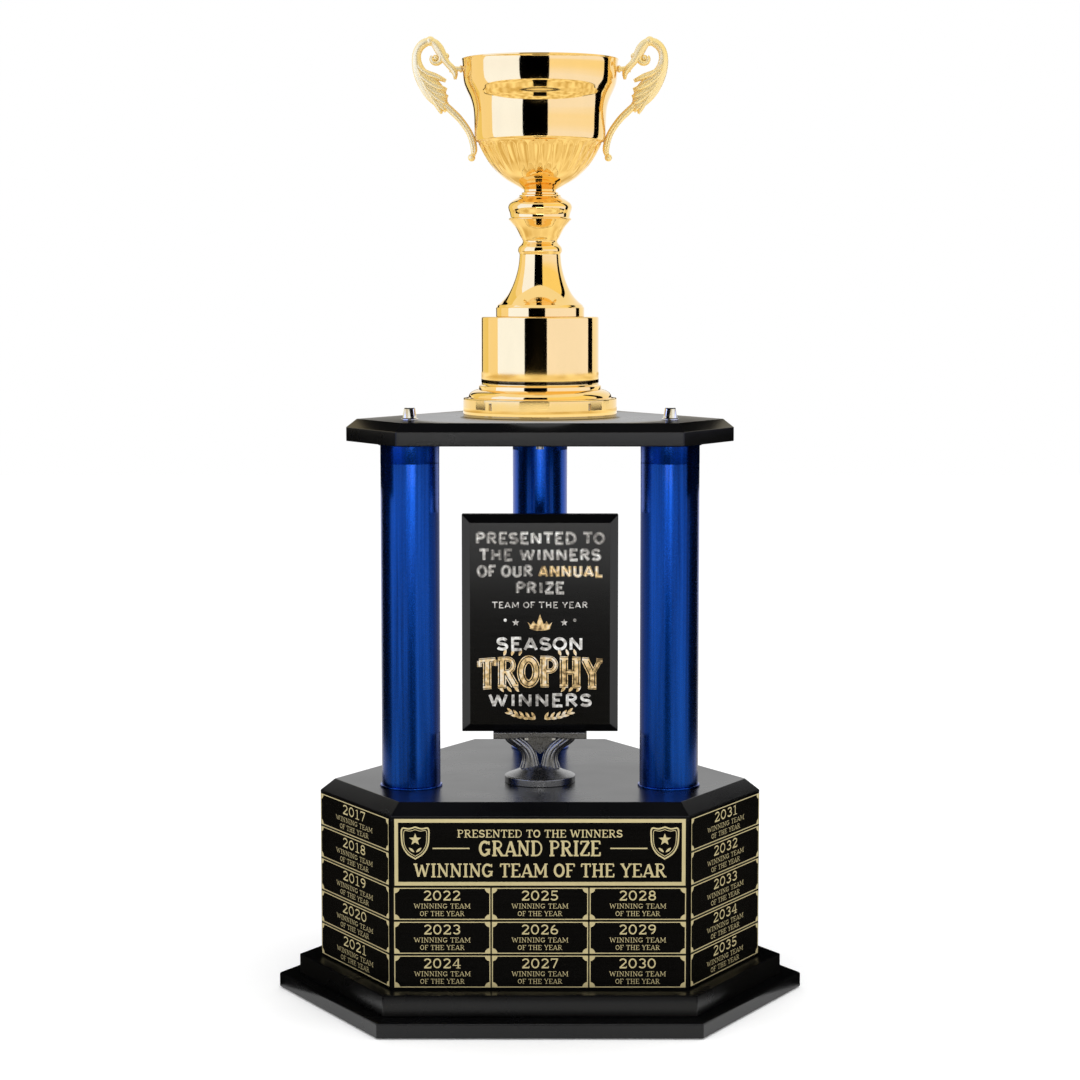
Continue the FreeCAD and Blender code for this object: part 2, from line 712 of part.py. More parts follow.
def make_bowl():
    """The cup itself, a spun shell: a cone, a rounded shoulder, a slight waist and a flared rim."""
    lower = "(bowl_shoulder_radius - bowl_foot_radius)"
    upper = "(bowl_rim_radius - bowl_shoulder_radius)"
    side = [
        (f"bowl_foot_radius + 0.26 * {lower}", "0.055 * bowl_height"),
        (f"bowl_foot_radius + 0.49 * {lower}", "0.122 * bowl_height"),
        (f"bowl_foot_radius + 0.65 * {lower}", "0.177 * bowl_height"),
        (f"bowl_foot_radius + 0.81 * {lower}", "0.237 * bowl_height"),
        (f"bowl_foot_radius + 0.92 * {lower}", "0.3 * bowl_height"),
        ("bowl_shoulder_radius", "0.354 * bowl_height"),
        (f"bowl_shoulder_radius + 0.11 * {upper}", "0.418 * bowl_height"),
        (f"bowl_shoulder_radius + 0.16 * {upper}", "0.53 * bowl_height"),
        (f"bowl_shoulder_radius + 0.23 * {upper}", "0.612 * bowl_height"),
        (f"bowl_shoulder_radius + 0.39 * {upper}", "0.693 * bowl_height"),
        (f"bowl_shoulder_radius + 0.68 * {upper}", "0.767 * bowl_height"),
        (f"bowl_shoulder_radius + 0.89 * {upper}", "0.857 * bowl_height"),
        (f"bowl_shoulder_radius + 0.93 * {upper}", "0.931 * bowl_height"),
        ("bowl_rim_radius", "bowl_height")]
    outside = [(ROD_HOLE, "0"), ("bowl_foot_radius", "0"),
               ("bowl_foot_radius + 1.1", "0.013 * bowl_height")] + side
    inside = [(f"{radius} - shell_wall - 0.4", height) for radius, height in reversed(side[1:6])]
    walls = [(f"{radius} - shell_wall", height) for radius, height in reversed(side[6:])]
    floor = [("bowl_foot_radius - 1", "bowl_floor"), (ROD_HOLE, "bowl_floor")]
    body = make_turned("cup_bowl", outside + walls + inside + floor, BOWL)
    drill(body, "handle_holes", "small_screw_radius + 0.1", [("0", UPPER_STUD), ("0", LOWER_STUD)],
          "YZ_Plane")
    return body


def make_cup_rod():
    """A single rod holds the cup down on the platform, which lets the cup be turned."""
    below = "washer_thickness + nut_height + rod_tail"
    rod = new_body("cup_rod")
    sketch = new_sketch(rod, "section")
    draw_circle(sketch, "rod_radius")
    length = (f"{below} + platform_thickness + riser_height + stem_height + knob_height"
              " + bowl_floor + nut_height + 2")
    pad(rod, sketch, length)
    raise_to(rod, f"{PLATFORM} - ({below})")
    for name, height, downwards in (("cup_lower_nut", PLATFORM, True),
                                    ("cup_upper_nut", BOWL + " + bowl_floor", False)):
        nut = new_body(name)
        sketch = new_sketch(nut, "nut")
        draw_nut(sketch)
        if downwards:
            washer = new_sketch(nut, "washer")
            draw_circle(washer, WASHER_RADIUS)
            draw_circle(washer, "rod_radius")
            pad(nut, washer, "washer_thickness", backwards=True)
        length = "washer_thickness + nut_height" if downwards else "nut_height"
        pad(nut, sketch, length, backwards=downwards)
        raise_to(nut, height)


# ---------------------------------------------------------------- handles

# A handle is a casting with no straight line in it, so its outline is smooth curves through
# points. Each point is (outwards from the rim, up from the bowl's foot), drawn for a spread
# of 40.6 and a bowl 106.2 tall and stretched to the sheet's own spread and height.
DRAWN_SPREAD = 40.6
DRAWN_HEIGHT = 106.2
HANDLE_OUTLINE = [
    # over the top, from the hook by the bowl to the tip of the leaf
    [(1.5, 98.5), (9.0, 101.8), (12.0, 106.5), (15.5, 112.0), (20.4, 120.4), (25.6, 123.8),
     (35.0, 119.3), (40.6, 107.4), (36.8, 89.7), (25.2, 72.0), (16.7, 61.2)],
    # the slender stem below the leaf, down to its end
    [(16.7, 61.2), (12.0, 63.3), (6.6, 56.6), (0.3, 49.6), (-4.9, 41.7), (-7.0, 36.5), (-7.2, 27.5)],
    [(-7.2, 27.5), (-9.7, 25.4), (-11.8, 27.5)],
    # back up beside the bowl to the leaf
    [(-11.8, 27.5), (-11.8, 35.0), (-9.4, 42.5), (-5.9, 48.8), (0.3, 56.6), (6.5, 63.5), (11.2, 68.0)],
    [(11.2, 68.0), (12.2, 75.8), (15.6, 82.0), (12.2, 88.5)],
    # the inside of the curl
    [(12.2, 88.5), (22.8, 93.5), (31.3, 100.5), (34.4, 107.4), (28.2, 115.1), (20.6, 113.5),
     (18.8, 109.2)],
    [(18.8, 109.2), (22.5, 108.6), (24.7, 105.6), (22.0, 102.0), (15.7, 103.5)],
    # under the arm to the hook
    [(15.7, 103.5), (13.0, 99.5), (8.8, 96.6), (6.5, 92.5), (5.3, 88.2), (2.6, 91.5), (1.5, 98.5)],
]


def handle_blank():
    """The handle's flat blank with two studs that reach into the bowl's wall, left hand."""
    wide = measure("handle_spread") / DRAWN_SPREAD
    tall = measure("bowl_height") / DRAWN_HEIGHT
    rim = measure("bowl_rim_radius")
    thick = measure("handle_thickness")
    edges = []
    for stretch in HANDLE_OUTLINE:
        points = [FreeCAD.Vector(-(rim + out * wide), -thick / 2, up * tall) for out, up in stretch]
        curve = Part.BSplineCurve()
        curve.interpolate(points)
        edges.append(curve.toShape())
    face = Part.Face(Part.Wire(edges))
    blank = face.extrude(FreeCAD.Vector(0, thick, 0))
    wall_middle = measure("shell_wall") / 2
    upper = measure("bowl_shoulder_radius + 0.93 * (bowl_rim_radius - bowl_shoulder_radius)")
    lower = measure("bowl_shoulder_radius + 0.04 * (bowl_rim_radius - bowl_shoulder_radius)")
    for height, inner, outer in ((measure(UPPER_STUD), upper, rim + 3 * wide),
                                 (measure(LOWER_STUD), lower, rim - 9.5 * wide)):
        start = FreeCAD.Vector(-(inner - wall_middle), 0, height)
        length = max(outer - inner + wall_middle, 2 * wall_middle)
        stud = Part.makeCylinder(measure("stud_radius"), length, start, FreeCAD.Vector(-1, 0, 0))
        blank = blank.fuse(stud)
    return blank.removeSplitter()


def make_handle_screws():
    """Four small screws go out through the bowl's wall into the handles' studs."""
    flare = "(bowl_rim_radius - bowl_shoulder_radius)"
    levels = (("upper", UPPER_STUD, f"bowl_shoulder_radius + 0.85 * {flare}"),
              ("lower", LOWER_STUD, "bowl_shoulder_radius"))
    parts = []
    for side, sign in (("left", -1), ("right", 1)):
        aim = FreeCAD.Rotation(FreeCAD.Vector(0, 0, 1), FreeCAD.Vector(sign, 0, 0))
        for level, height, wall in levels:
            shank = doc.addObject("Part::Cylinder", f"{side}_{level}_shank")
            shank.setExpression("Radius", bound("small_screw_radius"))
            shank.setExpression("Height", bound("handle_screw_depth + shell_wall + 1"))
            head = doc.addObject("Part::Cylinder", f"{side}_{level}_head")
            head.setExpression("Radius", bound("small_head_radius"))
            head.setExpression("Height", bound("small_head_height"))
            for piece, back in ((shank, "shell_wall + 1"), (head, "shell_wall + 1 + small_head_height")):
                piece.Placement = FreeCAD.Placement(FreeCAD.Vector(0, 0, 0), aim)
                piece.setExpression("Placement.Base.x", bound(f"{sign} * ({wall} - ({back}))"))
                piece.setExpression("Placement.Base.z", bound(height))
                parts.append(piece)
    screws = doc.addObject("Part::MultiFuse", "handle_screws")
    screws.Shapes = parts
    screws.Label = "handle_screws"
    screws.setExpression("Placement.Base.z", bound(BOWL))
    pieces.append(screws)
    doc.recompute()
    return screws


def make_handles(bowl, screws):
    """Each handle is its blank less the bowl's wall, which it fits, and less its screws."""
    shape = handle_blank()
    for side, degrees in (("left", 0), ("right", 180)):
        blank = doc.addObject("Part::Feature", f"{side}_handle_blank")
        blank.Shape = shape
        blank.Placement = FreeCAD.Placement(
            FreeCAD.Vector(0, 0, 0), FreeCAD.Rotation(FreeCAD.Vector(0, 0, 1), degrees))
        blank.setExpression("Placement.Base.z", bound(BOWL))
        fitted = doc.addObject("Part::Cut", f"{side}_handle_fitted")
        fitted.Base = blank
        fitted.Tool = bowl
        handle = doc.addObject("Part::Cut", f"{side}_handle")
        handle.Base = fitted
        handle.Tool = screws
        handle.Label = f"{side}_handle"
        pieces.append(handle)
    doc.recompute()


make_felt()
make_plinths()
make_plinth_screws()
make_blocks()
make_box()
make_plates()
make_tubes()
make_caps()
make_tie_rods()
make_cap_nuts()
make_platform()
make_plaque()
make_stand()
make_stand_screws()
make_riser()
make_stem()
make_knob()
make_cup_rod()
make_handles(make_bowl(), make_handle_screws())
doc.recompute()

# ---------------------------------------------------------------- checks and files

for item in doc.Objects:
    if "Invalid" in item.State or "Error" in item.State:
        raise RuntimeError(f"{item.Label} failed: {item.State}")
    if item.isDerivedFrom("Sketcher::SketchObject") and not item.FullyConstrained:
        raise RuntimeError(f"{item.Label} is not fully held")
os.makedirs("parts", exist_ok=True)
for piece in pieces:
    if piece.Shape.isNull() or not piece.Shape.isValid():
        raise RuntimeError(f"{piece.Label} has no good shape")
for piece in pieces:
    piece.Shape.exportStep(f"parts/{piece.Label}.step")
print(f"{len(pieces)} pieces written")
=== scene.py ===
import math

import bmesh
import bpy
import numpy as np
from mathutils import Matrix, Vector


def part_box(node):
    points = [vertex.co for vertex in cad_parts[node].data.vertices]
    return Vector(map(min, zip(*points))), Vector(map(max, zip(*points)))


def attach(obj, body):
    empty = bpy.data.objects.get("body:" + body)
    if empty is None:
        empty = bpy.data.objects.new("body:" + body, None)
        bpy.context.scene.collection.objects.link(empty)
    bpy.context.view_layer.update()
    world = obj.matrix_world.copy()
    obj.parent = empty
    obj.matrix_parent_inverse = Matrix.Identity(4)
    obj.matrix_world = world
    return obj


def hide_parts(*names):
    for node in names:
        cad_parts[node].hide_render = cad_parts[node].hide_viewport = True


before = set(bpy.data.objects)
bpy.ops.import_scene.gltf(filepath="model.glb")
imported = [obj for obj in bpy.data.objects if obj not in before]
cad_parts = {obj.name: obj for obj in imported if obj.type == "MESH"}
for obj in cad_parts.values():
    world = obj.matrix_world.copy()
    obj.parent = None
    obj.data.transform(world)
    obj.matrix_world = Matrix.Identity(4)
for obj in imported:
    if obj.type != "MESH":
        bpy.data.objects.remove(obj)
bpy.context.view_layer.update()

# %% [markdown]
# # A column trophy
# The frame gives the boards, tubes, plates, plaque and cup as plain solids in metres, with the
# front facing -Y. This file dresses each of them: lacquered boards with softened edges, foil
# tubes, engraved plates, a cast stand, and a spun and gilt cup with cast handles.
# Every new surface is worked out as an array of points, so that its shape is a formula.

MM = 0.001
TAU = 2 * math.pi

# %% [markdown]
# ## Helpers for surfaces
# A surface here is a grid of points: rows follow a profile and columns follow a turn or a path.
# Neighbouring points make four-sided faces. Where a row shrinks to one point, as at a pole,
# the points are merged, so the skin stays closed and the faces can be turned outwards together.

# %% Grids, closing and shading
def grid_faces(rows, columns, wrap_rows=False, wrap_columns=True, start=0):
    """Quads between neighbouring points of a rows by columns grid, as an (n, 4) array."""
    index = start + np.arange(rows * columns).reshape(rows, columns)
    if wrap_rows:
        index = np.vstack([index, index[:1]])
    if wrap_columns:
        index = np.hstack([index, index[:, :1]])
    quads = (index[:-1, :-1], index[:-1, 1:], index[1:, 1:], index[1:, :-1])
    return np.stack(quads, axis=-1).reshape(-1, 4)


def close_skin(mesh):
    """Merge doubled points, drop faces with no area, and turn every face outwards."""
    skin = bmesh.new()
    skin.from_mesh(mesh)
    bmesh.ops.remove_doubles(skin, verts=skin.verts, dist=1e-6)
    bmesh.ops.dissolve_degenerate(skin, edges=skin.edges, dist=1e-7)
    bmesh.ops.recalc_face_normals(skin, faces=skin.faces)
    skin.to_mesh(mesh)
    skin.free()


def make_piece(name, parts, finish, body, replaces=(), crease=35):
    """A piece from (points, faces) parts in millimetres. Faces meeting above crease stay sharp."""
    points, faces, count = [], [], 0
    for part_points, part_faces in parts:
        points.append(np.asarray(part_points, float).reshape(-1, 3))
        faces += [[count + i for i in face] for face in part_faces]
        count += len(points[-1])
    mesh = bpy.data.meshes.new(name)
    mesh.from_pydata((np.vstack(points) * MM).tolist(), [], faces)
    close_skin(mesh)
    mesh.polygons.foreach_set("use_smooth", np.ones(len(mesh.polygons), bool))
    mesh.set_sharp_from_angle(angle=math.radians(crease))
    mesh.materials.append(finish)
    piece = bpy.data.objects.new(name, mesh)
    bpy.context.scene.collection.objects.link(piece)
    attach(piece, body)
    if replaces:
        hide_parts(*replaces)
    print(f"{name}: {len(mesh.vertices)} points, {len(mesh.polygons)} faces")
    return piece


# %% [markdown]
# ## Helpers for profiles
# A profile is a short list of points. `soften` rounds its corners with arcs, as sandpaper or a
# press tool would, and adds a point close beyond each arc, so that shading stays flat on the
# flats. `flow` draws one smooth curve through all its points, for turned and cast shapes.

# %% Profiles
def soften(points, radii, steps=5, guard=0.4):
    """Round corner i of a polyline with an arc of radii[i]. The ends are kept as they are.

    The arc touches both sides at r * tan(turn / 2) from the corner."""
    points = np.asarray(points, float)
    radii = np.broadcast_to(radii, len(points))
    out = [points[0]]
    for before, corner, after, radius in zip(points[:-2], points[1:-1], points[2:], radii[1:-1]):
        back = (before - corner) / np.linalg.norm(before - corner)
        ahead = (after - corner) / np.linalg.norm(after - corner)
        turn = math.pi - math.acos(np.clip(back @ ahead, -1, 1))
        if radius <= 0 or turn < 1e-3:
            out.append(corner)
            continue
        room = 0.48 * min(np.linalg.norm(before - corner), np.linalg.norm(after - corner))
        reach = min(radius * math.tan(turn / 2), room)
        radius = reach / math.tan(turn / 2)
        centre = corner + (back + ahead) / np.linalg.norm(back + ahead) * math.hypot(radius, reach)
        first = corner + back * reach - centre
        last = corner + ahead * reach - centre
        share = np.linspace(0, 1, steps + 1)[:, None]
        arc = (np.sin((1 - share) * turn) * first + np.sin(share * turn) * last) / math.sin(turn)
        edge = min(guard, room - reach * 0.999)
        out += [corner + back * (reach + edge), *(centre + arc), corner + ahead * (reach + edge)]
    out.append(points[-1])
    return np.array(out)


def soften_ring(points, radii, steps=5, guard=0.4):
    """The same for a closed outline."""
    points = np.asarray(points, float)
    radii = np.broadcast_to(radii, len(points))
    around = np.vstack([points[-1:], points, points[:1]])
    return soften(around, np.concatenate([[0], radii, [0]]), steps, guard)[1:-1]


def flow(points, steps=8):
    """A smooth curve through the points: a Hermite cubic in each span, whose slopes at a point
    are those of the chord between its neighbours."""
    points = np.asarray(points, float)
    gaps = np.linalg.norm(np.diff(points, axis=0), axis=1) ** 0.5
    knots = np.concatenate([[0], np.cumsum(gaps)])
    slopes = np.gradient(points, knots, axis=0)
    u = np.arange(steps)[None, :, None] / steps
    span = np.diff(knots)[:, None, None]
    p, q = points[:-1, None], points[1:, None]
    m, n = slopes[:-1, None] * span, slopes[1:, None] * span
    curve = ((2 * u**3 - 3 * u**2 + 1) * p + (u**3 - 2 * u**2 + u) * m
             + (3 * u**2 - 2 * u**3) * q + (u**3 - u**2) * n)
    return np.vstack([curve.reshape(-1, points.shape[1]), points[-1:]])


# %% Turned, swept and slab surfaces
def turned(profile, turns=160, centre=(0, 0), closed=True, shape=None):
    """Points (r cos a, r sin a, z) of a profile of (r, z) carried round the axis by angle a.

    shape may change the radius with (r, z, a), as flutes do."""
    profile = np.asarray(profile, float)
    angle = np.arange(turns) * TAU / turns
    radius, height = np.broadcast_arrays(profile[:, :1], profile[:, 1:])
    radius = radius + 0 * angle
    height = height + 0 * angle
    if shape is not None:
        radius = shape(radius, height, angle[None, :])
    points = np.stack([centre[0] + radius * np.cos(angle), centre[1] + radius * np.sin(angle), height],
                      axis=-1)
    return points, grid_faces(len(profile), turns, wrap_rows=closed).tolist()


def around_sides(normals, distances, inset, rounding, steps=4, guard=0.6):
    """A convex outline with rounded corners: (m, columns, 2) points for m insets.

    Side i lies at distances[i] - inset from the origin along its normal. A corner's arc has
    its centre where both sides, moved in by the rounding, cross."""
    normals = np.radians(normals)
    inset = np.atleast_1d(inset)[:, None]
    columns = []
    for i in range(len(normals)):
        j = (i + 1) % len(normals)
        turn = (normals[j] - normals[i]) % TAU
        one, two = (distances[k] - inset - rounding for k in (i, j))
        first = np.array([math.cos(normals[i]), math.sin(normals[i])])
        along = np.array([-first[1], first[0]])
        centre = one * first + (two - one * math.cos(turn)) / math.sin(turn) * along
        angles = normals[i] + np.linspace(0, turn, steps + 1)
        arc = centre[:, None] + rounding * np.stack([np.cos(angles), np.sin(angles)], -1)
        after = np.array([-math.sin(normals[j]), math.cos(normals[j])])
        columns += [arc[:, :1] - guard * along, arc, arc[:, -1:] + guard * after]
    return np.concatenate(columns, axis=1)


def slab(normals, distances, profile, rounding=1.0, closed=False):
    """A board: a profile of (inset, height) carried round its sides, with flat ends unless the
    profile closes on itself."""
    profile = np.asarray(profile, float)
    outline = around_sides(normals, distances, profile[:, 0], rounding)
    rows, columns = outline.shape[:2]
    height = np.broadcast_to(profile[:, 1][:, None, None], (rows, columns, 1))
    points = np.concatenate([outline, height], axis=-1)
    faces = grid_faces(rows, columns, wrap_rows=closed).tolist()
    if not closed:
        faces += [list(range(columns))[::-1], list(range((rows - 1) * columns, rows * columns))]
    return points, faces


def swept(path, wide, thick, columns=24, groove=None):
    """A tapering bar along a path in the X-Z plane, closed to a point at both ends.

    A point is C(t) + wide(t) cos(a) N(t) + thick(t) sin(a) Y, where N is square to the path.
    groove may scale the section with (t, a), for ribs and veins."""
    path = np.asarray(path, float)
    along = np.gradient(path, axis=0)
    along /= np.linalg.norm(along, axis=1)[:, None]
    across = np.stack([-along[:, 1], along[:, 0]], axis=1)
    angle = np.arange(columns) * TAU / columns
    t = np.linspace(0, 1, len(path))[:, None]
    scale = 1 if groove is None else groove(t, angle[None, :])
    side = np.asarray(wide).reshape(-1, 1) * np.cos(angle) * scale
    out = np.asarray(thick).reshape(-1, 1) * np.sin(angle) * scale
    points = np.stack([path[:, :1] + side * across[:, :1], out, path[:, 1:] + side * across[:, 1:]], -1)
    ends = np.stack([[path[0, 0], 0, path[0, 1]], [path[-1, 0], 0, path[-1, 1]]])
    points = np.concatenate([np.broadcast_to(ends[0], (1, columns, 3)), points,
                             np.broadcast_to(ends[1], (1, columns, 3))])
    return points, grid_faces(len(points), columns).tolist()


def sphere(centre, radius, rows=14, columns=24):
    """A ball: a half circle turned about Z."""
    angle = np.linspace(-math.pi / 2, math.pi / 2, rows)
    points, faces = turned(np.stack([radius * np.cos(angle), radius * np.sin(angle)], 1), columns,
                           closed=False)
    return points + np.asarray(centre, float), faces


def placed(part, origin, right, up):
    """A flat part moved to a wall: its x goes along right, its y along up, its z outwards."""
    points, faces = part
    right, up = np.asarray(right, float), np.asarray(up, float)
    points = np.asarray(points, float).reshape(-1, 3)
    moved = (np.asarray(origin, float) + points[:, :1] * right + points[:, 1:2] * up
             + points[:, 2:] * np.cross(right, up))
    return moved, faces


# %% [markdown]
# ## Shader maths
# A finish is a small graph of nodes. `Wire` stands for one output, so that masks read as sums
# and products, and `Finish.node` makes any other node from its type, settings and inputs.

# %% Wires and finishes
class Wire:
    """A socket that carries a number. Adding, taking away or multiplying makes a node."""

    def __init__(self, finish, socket):
        self.finish = finish
        self.socket = socket

    def math(self, operation, *values):
        return self.finish.node("ShaderNodeMath", {"operation": operation},
                                dict(enumerate(values)))

    def __add__(self, other):
        return self.math("ADD", self, other)

    def __sub__(self, other):
        return self.math("SUBTRACT", self, other)

    def __rsub__(self, other):
        return self.math("SUBTRACT", other, self)

    def __mul__(self, other):
        return self.math("MULTIPLY", self, other)

    __radd__ = __add__
    __rmul__ = __mul__


class Finish:
    """A material with one Principled shader, built node by node."""

    def __init__(self, name, **constants):
        self.material = bpy.data.materials.new(name)
        self.material.use_nodes = True
        self.tree = self.material.node_tree
        self.shader = self.tree.nodes["Principled BSDF"]
        for socket, value in constants.items():
            self.shader.inputs[socket.replace("_", " ")].default_value = value
        self.place = None
        print("finish", name)

    def node(self, kind, settings=None, inputs=None, output=0):
        made = self.tree.nodes.new(kind)
        for setting, value in (settings or {}).items():
            if setting == "stops":
                ramp = made.color_ramp.elements
                while len(ramp) < len(value):
                    ramp.new(0.5)
                for element, (position, colour) in zip(ramp, value):
                    element.position = position
                    element.color = (*colour, 1)
            else:
                setattr(made, setting, value)
        for socket, value in (inputs or {}).items():
            if isinstance(value, Wire):
                self.tree.links.new(value.socket, made.inputs[socket])
            else:
                made.inputs[socket].default_value = value
        return Wire(self, made.outputs[output])

    def feed(self, socket, wire):
        self.tree.links.new(wire.socket, self.shader.inputs[socket])

    def object_place(self):
        if self.place is None:
            self.place = self.node("ShaderNodeTexCoord", output="Object")
        return self.place

    def stretched_place(self, scale):
        return self.node("ShaderNodeMapping", None, {"Vector": self.object_place(), "Scale": scale})

    def grain(self, scale, detail=3.0, roughness=0.5, place=None):
        """Cloudy noise from 0 to 1; scale is blobs per metre."""
        return self.node("ShaderNodeTexNoise", None, {
            "Vector": place or self.object_place(), "Scale": scale, "Detail": detail,
            "Roughness": roughness})

    def mix_colours(self, factor, one, two):
        """Two colours mixed. The node's colour sockets are inputs 6 and 7 and output 2."""
        return self.node("ShaderNodeMix", {"data_type": "RGBA"},
                         {0: factor, 6: (*one, 1), 7: (*two, 1)}, output=2)

    def ramp(self, tone, *stops):
        """A colour for each tone, from stops of (tone, colour)."""
        return self.node("ShaderNodeValToRGB", {"stops": stops}, {0: tone})

    def relief(self, height, depth, strength=1.0):
        bump = self.node("ShaderNodeBump", None,
                         {"Height": height, "Distance": depth, "Strength": strength})
        self.feed("Normal", bump)


# %% [markdown]
# ## Finishes
# Satin black lacquer over board, metallic blue foil, gold plate on spun and on cast metal,
# engraved plates, chrome, a graphite casting, zinc and felt. Each has the small unevenness of
# the real coating: the orange peel of spray, the draw lines of foil, the softness of a casting.

# %% Finishes for the woodwork
def black_lacquer():
    """Sprayed satin lacquer: a fine orange peel and slow changes of sheen."""
    coat = Finish("satin_black_lacquer", Roughness=0.25, Specular_IOR_Level=0.34)
    cloud = coat.grain(14, 2)
    peel = coat.grain(900, 2)
    coat.feed("Base Color", coat.mix_colours(cloud, (0.001, 0.001, 0.0012), (0.004, 0.004, 0.0045)))
    coat.feed("Roughness", 0.23 + cloud * 0.1)
    coat.relief(peel + cloud * 0.5, 0.00003, 0.5)
    return coat.material


def felt():
    """Matted black fibres."""
    cloth = Finish("black_felt", Roughness=0.95, Sheen_Weight=0.4)
    fibre = cloth.grain(2600, 4, 0.7)
    cloth.feed("Base Color", cloth.mix_colours(fibre, (0.006, 0.006, 0.007), (0.03, 0.03, 0.032)))
    cloth.relief(fibre, 0.0004)
    return cloth.material


def bare_pine():
    """Glue blocks inside the box: rings stretched along the grain."""
    wood = Finish("bare_pine", Roughness=0.7)
    rings = wood.grain(60, 4, 0.6, wood.stretched_place((1, 1, 0.08)))
    wood.feed("Base Color", wood.mix_colours(rings, (0.42, 0.26, 0.13), (0.66, 0.48, 0.29)))
    wood.relief(rings, 0.0002)
    return wood.material


# %% Finishes for the tubes
def blue_foil():
    """Metallic foil wrapped on a tube: fine draw lines along it, and a mottle where the glue
    pulls the foil down."""
    foil = Finish("blue_foil", Metallic=1.0, Coat_Weight=0.08, Coat_Roughness=0.08)
    lines = foil.grain(520, 3, 0.6, foil.stretched_place((1, 1, 0.012)))
    bands = foil.grain(95, 2, 0.4, foil.stretched_place((1, 1, 0.03)))
    mottle = foil.grain(760, 3, 0.65)
    tone = lines * 0.4 + bands * 0.45 + mottle * 0.15
    foil.feed("Base Color", foil.ramp(tone, (0.34, (0.001, 0.012, 0.075)), (0.47, (0.003, 0.044, 0.29)),
                                      (0.62, (0.007, 0.074, 0.45))))
    foil.feed("Roughness", 0.2 + mottle * 0.12)
    foil.relief(mottle * 0.3 + lines * 0.7, 0.0001, 0.4)
    return foil.material


# %% Finishes for the metal
def gilt(name, colour, rough, wear, depth, metallic=1.0):
    """Gold plate: its shine is broken by faint wiping marks, and a casting is softer. A filled
    engraving or a print is part paint, so less metallic."""
    plate = Finish(name, Metallic=metallic)
    wipe = plate.grain(70, 4, 0.6, plate.stretched_place((1, 1, 0.3)))
    fine = plate.grain(1500, 2)
    deep = tuple(channel * wear for channel in colour)
    plate.feed("Base Color", plate.mix_colours(wipe, colour, deep))
    plate.feed("Roughness", rough + wipe * rough * 0.8)
    plate.relief(wipe * 0.6 + fine * 0.4, depth, 0.4)
    return plate.material


def bare_metal(name, colour, rough, depth, streak=1.0):
    """Chrome, zinc or graphite plating; streak below 1 draws the marks out along Z."""
    metal = Finish(name, Metallic=1.0)
    marks = metal.grain(400, 3, 0.6, metal.stretched_place((1, 1, streak)))
    dark = tuple(channel * 0.8 for channel in colour)
    metal.feed("Base Color", metal.mix_colours(marks, colour, dark))
    metal.feed("Roughness", rough + marks * rough)
    metal.relief(marks, depth, 0.5)
    return metal.material


def plate_black():
    """Black coating on an engraving plate, glossy with a faint brushed base under it."""
    coat = Finish("plate_black", Specular_IOR_Level=0.3, Coat_Weight=0.15, Coat_Roughness=0.1)
    brushed = coat.grain(700, 3, 0.6, coat.stretched_place((0.03, 0.03, 1)))
    coat.feed("Base Color", coat.mix_colours(brushed, (0.001, 0.001, 0.001), (0.004, 0.0035, 0.003)))
    coat.feed("Roughness", 0.16 + brushed * 0.1)
    coat.relief(brushed, 0.00001, 0.2)
    return coat.material


def foil_print(name, dark, middle, bright):
    """Hot foil print: crumpled light and dark patches a few millimetres wide."""
    print_foil = Finish(name, Metallic=0.3)
    patches = print_foil.grain(330, 2, 0.5)
    sweep = print_foil.grain(34, 1, 0.4)
    tone = patches * 0.55 + sweep * 0.45
    print_foil.feed("Base Color", print_foil.ramp(tone, (0.36, dark), (0.5, middle), (0.64, bright)))
    print_foil.feed("Roughness", 0.25 + patches * 0.2)
    print_foil.relief(patches, 0.0001, 0.5)
    return print_foil.material


LACQUER = black_lacquer()
FELT = felt()
PINE = bare_pine()
FOIL = blue_foil()
GILT = gilt("spun_gold_plate", (1.0, 0.69, 0.25), 0.04, 0.9, 0.00001)
CAST_GILT = gilt("cast_gold_plate", (1.0, 0.82, 0.40), 0.4, 0.97, 0.00002)
ENGRAVED = gilt("engraved_pale_gold", (0.68, 0.58, 0.30), 0.4, 0.8, 0.00004, 0.25)
PRINT_GOLD = foil_print("bright_print_gold", (0.16, 0.09, 0.03), (0.85, 0.60, 0.27), (0.95, 0.86, 0.72))
PRINT_SILVER = foil_print("bright_print_silver", (0.16, 0.15, 0.14), (0.52, 0.50, 0.47), (0.95, 0.95, 0.93))
CHROME = bare_metal("chrome", (0.86, 0.87, 0.89), 0.06, 0.00001)
GRAPHITE = bare_metal("graphite_casting", (0.26, 0.26, 0.265), 0.19, 0.00006)
ZINC = bare_metal("zinc_steel", (0.62, 0.62, 0.60), 0.28, 0.00004)
PLATE = plate_black()

# %% [markdown]
# ## Boards
# Felt, plinths, box, lid and platform share one plan: a triangle with its corners cut off. Each
# board's distances to a long and to a short side are read from the frame, and its profile
# gives the edge: square and eased, rounded over, or bevelled.

# %% Boards
BOARD_NORMALS = (-90, -30, 30, 90, 150, 210)
BOARD_ROUNDING = 1.2
EASE = 0.9


def size_of(node):
    """A node's lowest and highest corner in millimetres."""
    low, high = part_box(node)
    return np.array(low) / MM, np.array(high) / MM


def board_distances(node):
    low, high = size_of(node)
    return (-low[1], high[1]) * 3


def make_board(name, profile, distances, replaces, closed=False):
    make_piece(name, [slab(BOARD_NORMALS, distances, profile, BOARD_ROUNDING, closed)], LACQUER,
               "base", replaces)


